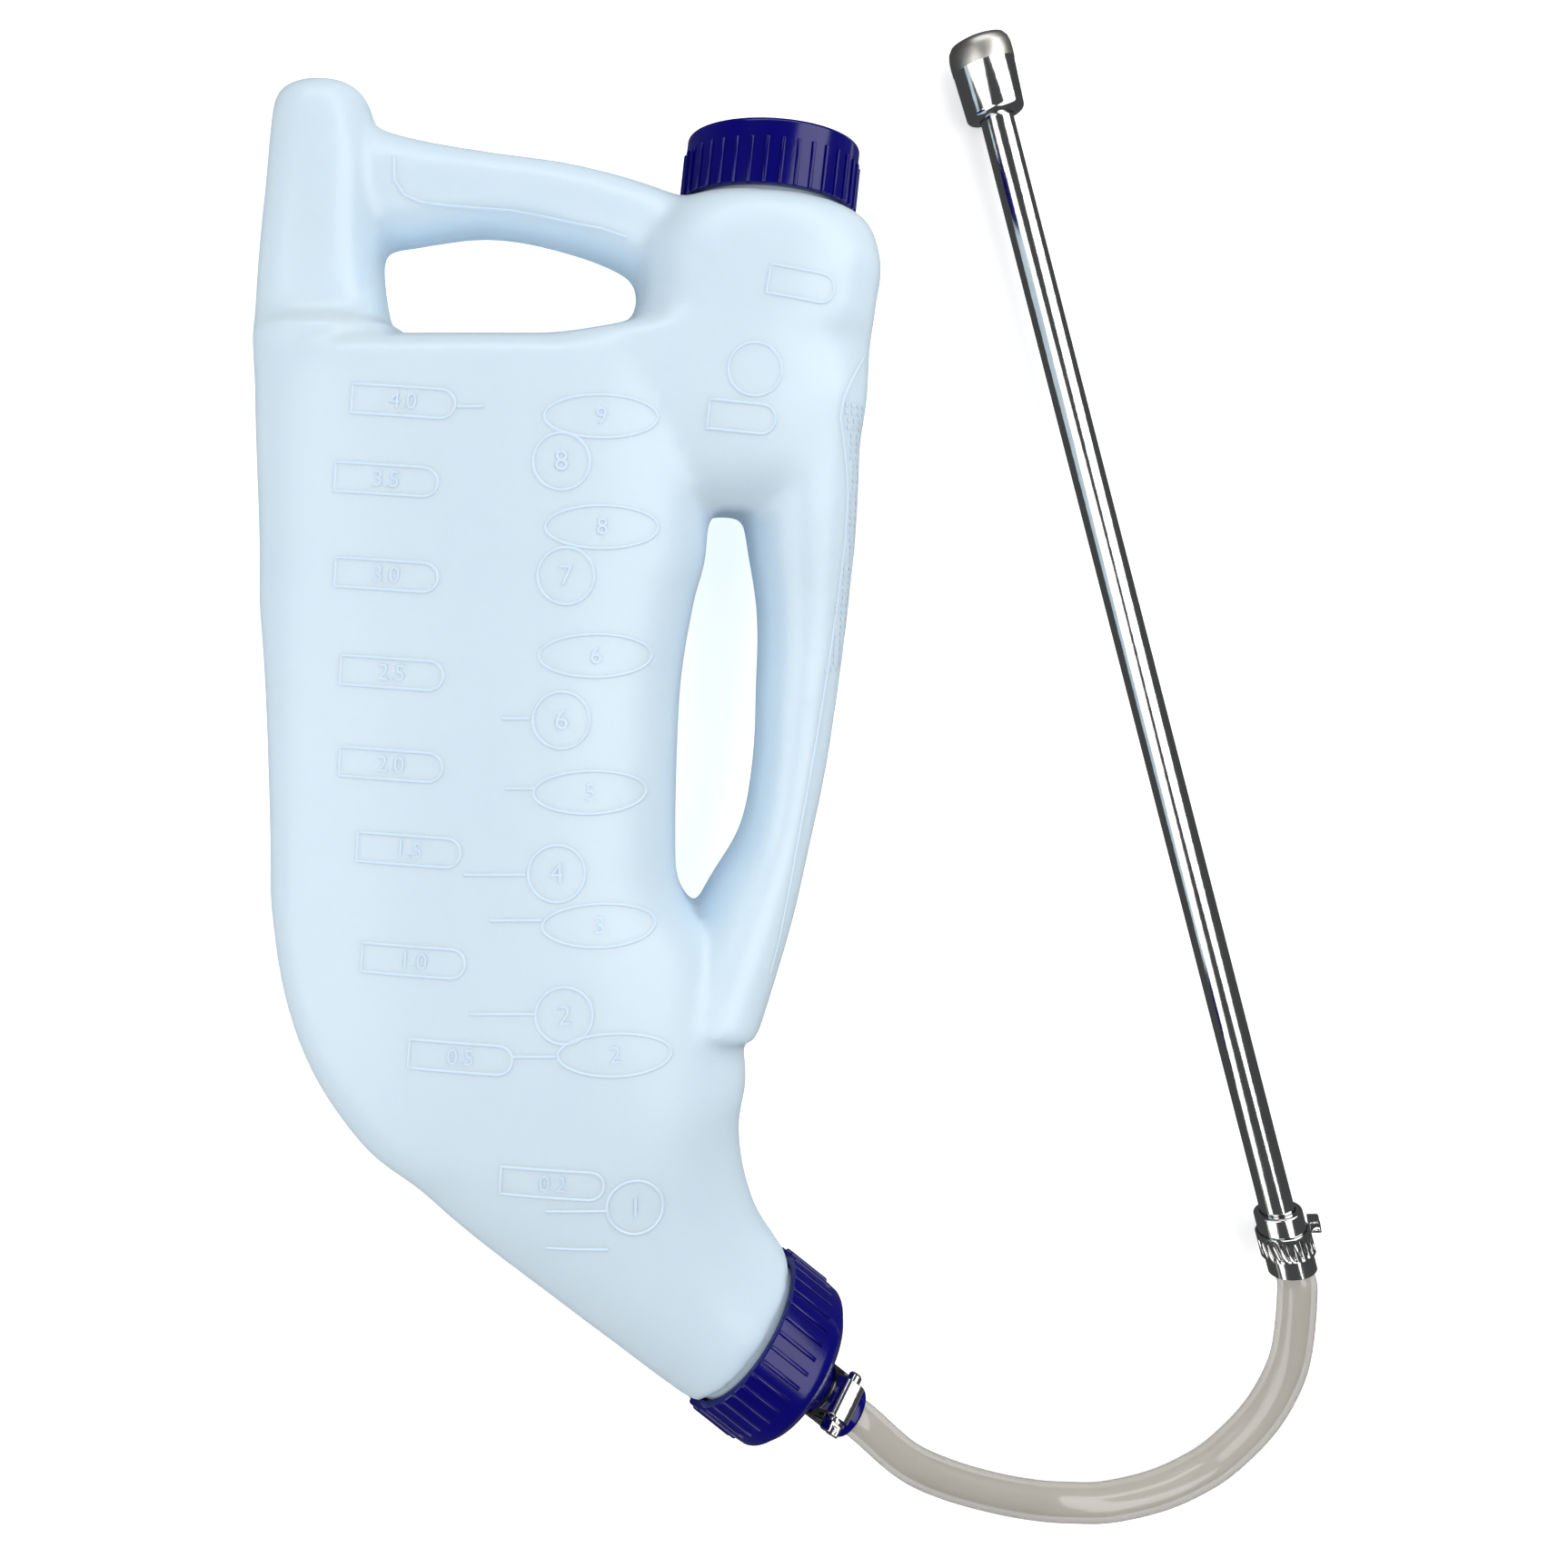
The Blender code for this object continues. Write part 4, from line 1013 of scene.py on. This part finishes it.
def make_clamp(name, placed, inner_radius, start, turn, bodies, finishes):
    """A worm-drive clamp: slotted band, folded housing and a hexagon screw."""
    band_finish, housing_finish = finishes
    spin = Matrix.Rotation(math.radians(turn), 4, "Z")
    placed = placed @ spin @ Matrix.Translation((0, 0, start + BAND_WIDTH / 2))
    half = BAND_WIDTH / 2
    outer = inner_radius + BAND_THICKNESS
    hoop = lathe([
        (inner_radius, -half), (outer - 0.0002, -half), (outer, -half + 0.0002),
        (outer, half - 0.0002), (outer - 0.0002, half), (inner_radius, half),
    ], 120)
    band = object_from(hoop, name + "_band_strip", band_finish, placed)
    slots = []
    lean = Matrix.Rotation(math.radians(BAND_SLOT_LEAN), 3, "X")
    for index in range(BAND_SLOTS):
        around = Matrix.Rotation(math.radians(BAND_FIRST_SLOT + BAND_SLOT_STEP * index), 3, "Z")
        slot = bmesh.new()
        bmesh.ops.create_cube(slot, size=1)
        bmesh.ops.scale(slot, verts=slot.verts, vec=(4 * BAND_THICKNESS, BAND_SLOT_WIDTH, BAND_SLOT_LENGTH))
        bmesh.ops.rotate(slot, verts=slot.verts, cent=(0, 0, 0), matrix=lean)
        bmesh.ops.translate(slot, verts=slot.verts, vec=(outer, 0, 0))
        bmesh.ops.rotate(slot, verts=slot.verts, cent=(0, 0, 0), matrix=around)
        slots.append(slot)
    cut(band, object_from(join(*slots), name + "_slots", placed=placed))
    baked(band)
    finished(band, bodies[0], name + "_band", slot="steel")

    thread_radius = SCREW_RADIUS + SCREW_THREAD_HEIGHT
    reach = outer + GAP + thread_radius
    roof_radius = thread_radius + GAP + 0.0009
    saddle = bmesh.new()
    bmesh.ops.create_cube(saddle, size=1)
    top = reach + roof_radius
    bmesh.ops.scale(saddle, verts=saddle.verts, vec=(top, HOUSING_LENGTH, HOUSING_WIDTH))
    bmesh.ops.translate(saddle, verts=saddle.verts, vec=(top / 2, 0, 0))
    roof = [edge for edge in saddle.edges
            if all(vert.co.x > top / 2 for vert in edge.verts)
            and abs(edge.verts[0].co.y - edge.verts[1].co.y) > HOUSING_LENGTH / 2]
    bmesh.ops.bevel(saddle, geom=roof, offset=HOUSING_WIDTH * 0.34, segments=6, profile=0.5,
                    affect="EDGES", material=-1)
    housing = object_from(saddle, name + "_housing_fold", housing_finish, placed)
    seat = lathe([(0, -BAND_WIDTH), (outer + GAP, -BAND_WIDTH), (outer + GAP, BAND_WIDTH), (0, BAND_WIDTH)], 96,
                 closed=False)
    cut(housing, object_from(seat, name + "_seat", placed=placed))
    screw_place = placed @ Matrix.Translation((reach, 0, 0)) @ Matrix.Rotation(math.radians(-90), 4, "X")
    bore = lathe([(0, -HOUSING_LENGTH), (thread_radius + GAP, -HOUSING_LENGTH),
                  (thread_radius + GAP, HOUSING_LENGTH), (0, HOUSING_LENGTH)], 32, closed=False)
    cut(housing, object_from(bore, name + "_bore", placed=screw_place))
    baked(housing)
    edge = housing.modifiers.new("edge", "BEVEL")
    edge.width = 0.00025
    edge.segments = 2
    edge.limit_method = "ANGLE"
    edge.angle_limit = math.radians(40)
    finished(housing, bodies[0], name + "_housing", slot="steel")

    head_start = HOUSING_LENGTH / 2 + 0.0008
    shank = lathe([
        (0, -HOUSING_LENGTH / 2 - 0.0034),
        (SCREW_RADIUS - 0.0007, -HOUSING_LENGTH / 2 - 0.0034),
        (SCREW_RADIUS, -HOUSING_LENGTH / 2 - 0.0026),
        (SCREW_RADIUS, head_start),
        (SCREW_HEAD_RADIUS * 0.99, head_start),
        (SCREW_HEAD_RADIUS * 0.99, head_start + 0.0009),
        (0, head_start + 0.0009),
    ], 40, closed=False)
    worm = thread_ridge(SCREW_RADIUS - 0.0002, thread_radius, 0.0016, 0.0024,
                        (HOUSING_LENGTH - 0.0024) / 0.0024, -HOUSING_LENGTH / 2 + 0.0012, 24)
    head = bmesh.new()
    bmesh.ops.create_cone(head, cap_ends=True, segments=6, radius1=SCREW_HEAD_RADIUS * 0.98,
                          radius2=SCREW_HEAD_RADIUS * 0.98, depth=SCREW_HEAD_LENGTH - 0.0009)
    bmesh.ops.translate(head, verts=head.verts,
                        vec=(0, 0, head_start + 0.0009 + (SCREW_HEAD_LENGTH - 0.0009) / 2 - 0.00001))
    bmesh.ops.bevel(head, geom=head.edges, offset=0.0003, segments=2, profile=0.5, affect="EDGES", material=-1)
    screw = object_from(join(shank, worm, head), name + "_screw_turned", housing_finish, screw_place)
    notch = bmesh.new()
    bmesh.ops.create_cube(notch, size=1)
    bmesh.ops.scale(notch, verts=notch.verts, vec=(4 * SCREW_HEAD_RADIUS, 0.0010, 0.0032))
    bmesh.ops.translate(notch, verts=notch.verts, vec=(0, 0, head_start + SCREW_HEAD_LENGTH))
    cut(screw, object_from(notch, name + "_notch", placed=screw_place))
    baked(screw)
    finished(screw, bodies[1], name + "_screw", slot="steel")


def make_probe(bright, satin):
    """Rounded head, long tube and the ferrule that takes the hose."""
    head = lathe([
        (0.0040, 0.0012),
        (0.0058, 0.0002),
        (HEAD_RADIUS - 0.0040, 0.0),
        (HEAD_RADIUS - 0.0018, 0.0008),
        (HEAD_RADIUS - 0.0006, 0.0026),
        (HEAD_RADIUS - 0.0001, 0.0050),
        (HEAD_RADIUS, 0.0080),
        (HEAD_RADIUS - 0.0001, 0.0112),
        (HEAD_RADIUS - 0.0003, 0.0118),
        (HEAD_FOOT_RADIUS + 0.0002, HEAD_LENGTH - 0.0028),
        *arc((HEAD_FOOT_RADIUS - 0.0022, HEAD_LENGTH - 0.0024), 0.0024, 0, 80),
        (TUBE_RADIUS + GAP, HEAD_LENGTH),
        (TUBE_RADIUS + GAP, HEAD_LENGTH - HEAD_TUBE_DEPTH),
        (TUBE_RADIUS - TUBE_WALL, HEAD_LENGTH - HEAD_TUBE_DEPTH - GAP),
        (TUBE_RADIUS - TUBE_WALL, 0.0070),
        (0.0050, 0.0024),
    ], 128)
    head = object_from(head, "probe_head_turned", bright, PROBE_AXIS)
    head.data.materials.append(satin)
    to_axis = PROBE_AXIS.inverted()
    for face in head.data.polygons:
        if (to_axis @ face.center).z < 0.0114:
            face.material_index = 1
    finished(head, "base", "probe_head", slot="steel")

    end = FERRULE_START + TUBE_END_INSIDE
    pipe = lathe([
        (TUBE_RADIUS - TUBE_WALL, HEAD_LENGTH - HEAD_TUBE_DEPTH),
        (TUBE_RADIUS, HEAD_LENGTH - HEAD_TUBE_DEPTH),
        (TUBE_RADIUS, end - 0.0003),
        (TUBE_RADIUS - 0.0003, end),
        (TUBE_RADIUS - TUBE_WALL, end),
    ], 96)
    finished(object_from(pipe, "probe_tube_drawn", bright, PROBE_AXIS), "base", "probe_tube", slot="steel")

    ferrule = lathe([
        (TUBE_RADIUS + GAP, FERRULE_START),
        (FERRULE_RADIUS - 0.0010, FERRULE_START),
        *arc((FERRULE_RADIUS - 0.0008, FERRULE_START + 0.0008), 0.0008, -90, 0),
        (FERRULE_RADIUS, PROBE_LENGTH - 0.0002),
        (FERRULE_RADIUS - 0.0002, PROBE_LENGTH),
        (HOSE_RADIUS + GAP, PROBE_LENGTH),
        (HOSE_RADIUS + GAP, FERRULE_START + 0.0023),
        (TUBE_RADIUS + GAP, FERRULE_START + 0.0020),
    ], 96)
    finished(object_from(ferrule, "probe_ferrule_turned", bright, PROBE_AXIS), "base", "probe_ferrule", slot="steel")


def hose_route():
    """The hose's middle line, on one smooth curve through the chosen points."""
    hose_end = HOSE_SEAT + CAP_TRAVEL + 2 * GAP
    straight = SPOUT_END + CAP_TRAVEL
    start = [OUTLET_AXIS @ Vector((0, 0, distance))
             for distance in (hose_end, (hose_end + straight) / 2, straight)]
    mouth = PROBE_LENGTH + GAP
    end = [PROBE_AXIS @ Vector((0, 0, distance))
           for distance in (mouth + HOSE_RADIUS, mouth, FERRULE_START + TUBE_END_INSIDE + GAP)]
    route = start + [Vector(point) for point in HOSE_WAY] + end
    columns = list(zip(*route))
    steps = 6 * (len(route) - 1)
    return [Vector([smooth_value(values, index * (len(route) - 1) / steps) for values in columns])
            for index in range(steps + 1)]


def hose_skin(route, radius):
    """One open round skin along the route."""
    line = bpy.data.curves.new("hose_line", "CURVE")
    line.dimensions = "3D"
    line.bevel_depth = radius
    line.bevel_resolution = 10
    spline = line.splines.new("POLY")
    spline.points.add(len(route) - 1)
    for point, place in zip(spline.points, route):
        point.co = (*place, 1)
    holder = bpy.data.objects.new("hose_line", line)
    mesh = bpy.data.meshes.new_from_object(holder)
    bpy.data.objects.remove(holder)
    shape = bmesh.new()
    shape.from_mesh(mesh)
    bpy.data.meshes.remove(mesh)
    bmesh.ops.remove_doubles(shape, verts=shape.verts, dist=1e-6)
    return shape


def make_hose(finish):
    """The clear hose, with its wall and bore."""
    route = hose_route()
    shape = join(hose_skin(route, HOSE_RADIUS - 0.00005), hose_skin(route, HOSE_BORE_RADIUS))
    rims = [edge for edge in shape.edges if edge.is_boundary]
    for end in (route[0], route[-1]):
        bmesh.ops.bridge_loops(shape, edges=[edge for edge in rims
                                             if (edge.verts[0].co - end).length < 3 * HOSE_RADIUS])
    hose = object_from(shape, "hose_tube", finish)
    finished(hose, "base", "hose", slot="clear_hose")
    return hose


def make_seals(foam, rubber):
    """The liner in the fill cap and the ring in the outlet cap."""
    liner = lathe([
        (0, NECK_HEIGHT + GAP), (SEAL_RADIUS - 0.0003, NECK_HEIGHT + GAP),
        (SEAL_RADIUS, NECK_HEIGHT + 2 * GAP), (SEAL_RADIUS, CAP_INSIDE - 2 * GAP),
        (SEAL_RADIUS - 0.0003, CAP_INSIDE - GAP), (0, CAP_INSIDE - GAP),
    ], 96, closed=False)
    liner = object_from(liner, "fill_cap_liner", foam, FILL_AXIS)
    finished(liner, "fill_lift", "fill_cap_seal", slot="white_foam")
    ring = lathe([
        (0.0190, NECK_HEIGHT + GAP), (SEAL_RADIUS, NECK_HEIGHT + GAP),
        (SEAL_RADIUS, CAP_INSIDE - GAP), (0.0190, CAP_INSIDE - GAP),
    ], 96)
    finished(object_from(ring, "outlet_gasket_ring", rubber, OUTLET_AXIS), "outlet_lift", "outlet_gasket",
             slot="black_rubber")


def make_camera():
    data = bpy.data.cameras.new("camera")
    data.sensor_width = SENSOR
    data.lens = FOCAL_PIXELS / FRAME_PIXELS * SENSOR
    data.shift_x = 0.5 - NADIR[0] / FRAME_PIXELS
    data.shift_y = NADIR[1] / FRAME_PIXELS - 0.5
    data.clip_start = 0.01
    camera = bpy.data.objects.new("camera", data)
    camera.location = (CAMERA_X, CAMERA_Y, CAMERA_HEIGHT)
    bpy.context.collection.objects.link(camera)
    bpy.context.scene.camera = camera


def softbox(name, place, target, size, power, turn=0.0):
    """A rectangular studio light that faces its target, turned in its own plane."""
    data = bpy.data.lights.new(name, "AREA")
    data.shape = "RECTANGLE"
    data.size, data.size_y = size
    data.energy = power
    lamp = bpy.data.objects.new(name, data)
    lamp.location = place
    facing = (Vector(target) - Vector(place)).to_track_quat("-Z", "Y").to_matrix()
    lamp.rotation_euler = (facing @ Matrix.Rotation(math.radians(turn), 3, "Z")).to_euler()
    lamp.visible_camera = False
    bpy.context.collection.objects.link(lamp)


def make_stage():
    """A wide white floor between two large softboxes under a dim sky."""
    floor = bmesh.new()
    bmesh.ops.create_grid(floor, x_segments=1, y_segments=1, size=4)
    ground = object_from(floor, "floor", floor_finish(), Matrix.Translation((0, 0, -0.0002)))
    ground.visible_glossy = False
    world = bpy.data.worlds.new("studio")
    world.use_nodes = True
    sky = world.node_tree.nodes["Background"]
    sky.inputs["Color"].default_value = (0.93, 0.96, 1.0, 1)
    sky.inputs["Strength"].default_value = 0.08
    bpy.context.scene.world = world
    bpy.context.scene.view_settings.view_transform = "Standard"
    softbox("left_softbox", (-1.05, -0.45, 1.00), (0.10, -0.05, 0), (1.4, 2.4), 21, 30)
    softbox("right_softbox", (0.95, 0.30, 1.10), (0.25, 0, 0), (0.95, 2.4), 20, 38)
    softbox("top_softbox", (0.10, 1.50, 0.95), (0.15, -0.2, 0), (1.8, 0.6), 9)


def main():
    make_camera()
    make_stage()
    bright = drawn_steel("bright_steel", (0.74, 0.74, 0.73), 0.05, 0.06)
    satin = drawn_steel("satin_steel", (0.62, 0.60, 0.56), 0.30)
    # Painted reflection: the outlet clamp's band is the same stainless as the other clamp's, painted dark to stand
    # for the dark surroundings it reflects.
    painted_dark_steel = drawn_steel("band_steel_painted_dark", (0.20, 0.20, 0.19), 0.12)
    milky = milky_plastic("milky_plastic", 0.45)
    marks = milky_plastic("milky_marks", 0.0)
    make_hose(clear_vinyl())
    bottle = make_bottle(milky)
    tree = surface_of(bottle)
    make_scale(tree, marks)
    make_plain_outlines(tree, marks)
    make_grip_pad(tree, marks)
    navy = navy_plastic()
    make_fill_cap(navy)
    make_outlet_cap(navy)
    make_seals(liner_foam(), plain_rubber())
    make_probe(bright, satin)
    # The outlet clamp's band takes the steel painted dark, a painted dark reflection.
    make_clamp("outlet_clamp", OUTLET_AXIS, SPOUT_RADIUS + GAP, SPOUT_BAND_START, SPOUT_CLAMP_TURN,
               ("outlet_turn", "outlet_screw"), (painted_dark_steel, bright))
    make_clamp("probe_clamp", PROBE_AXIS, FERRULE_RADIUS + GAP, FERRULE_START + FERRULE_BAND_START,
               FERRULE_CLAMP_TURN, ("base", "probe_screw"), (bright, bright))


main()
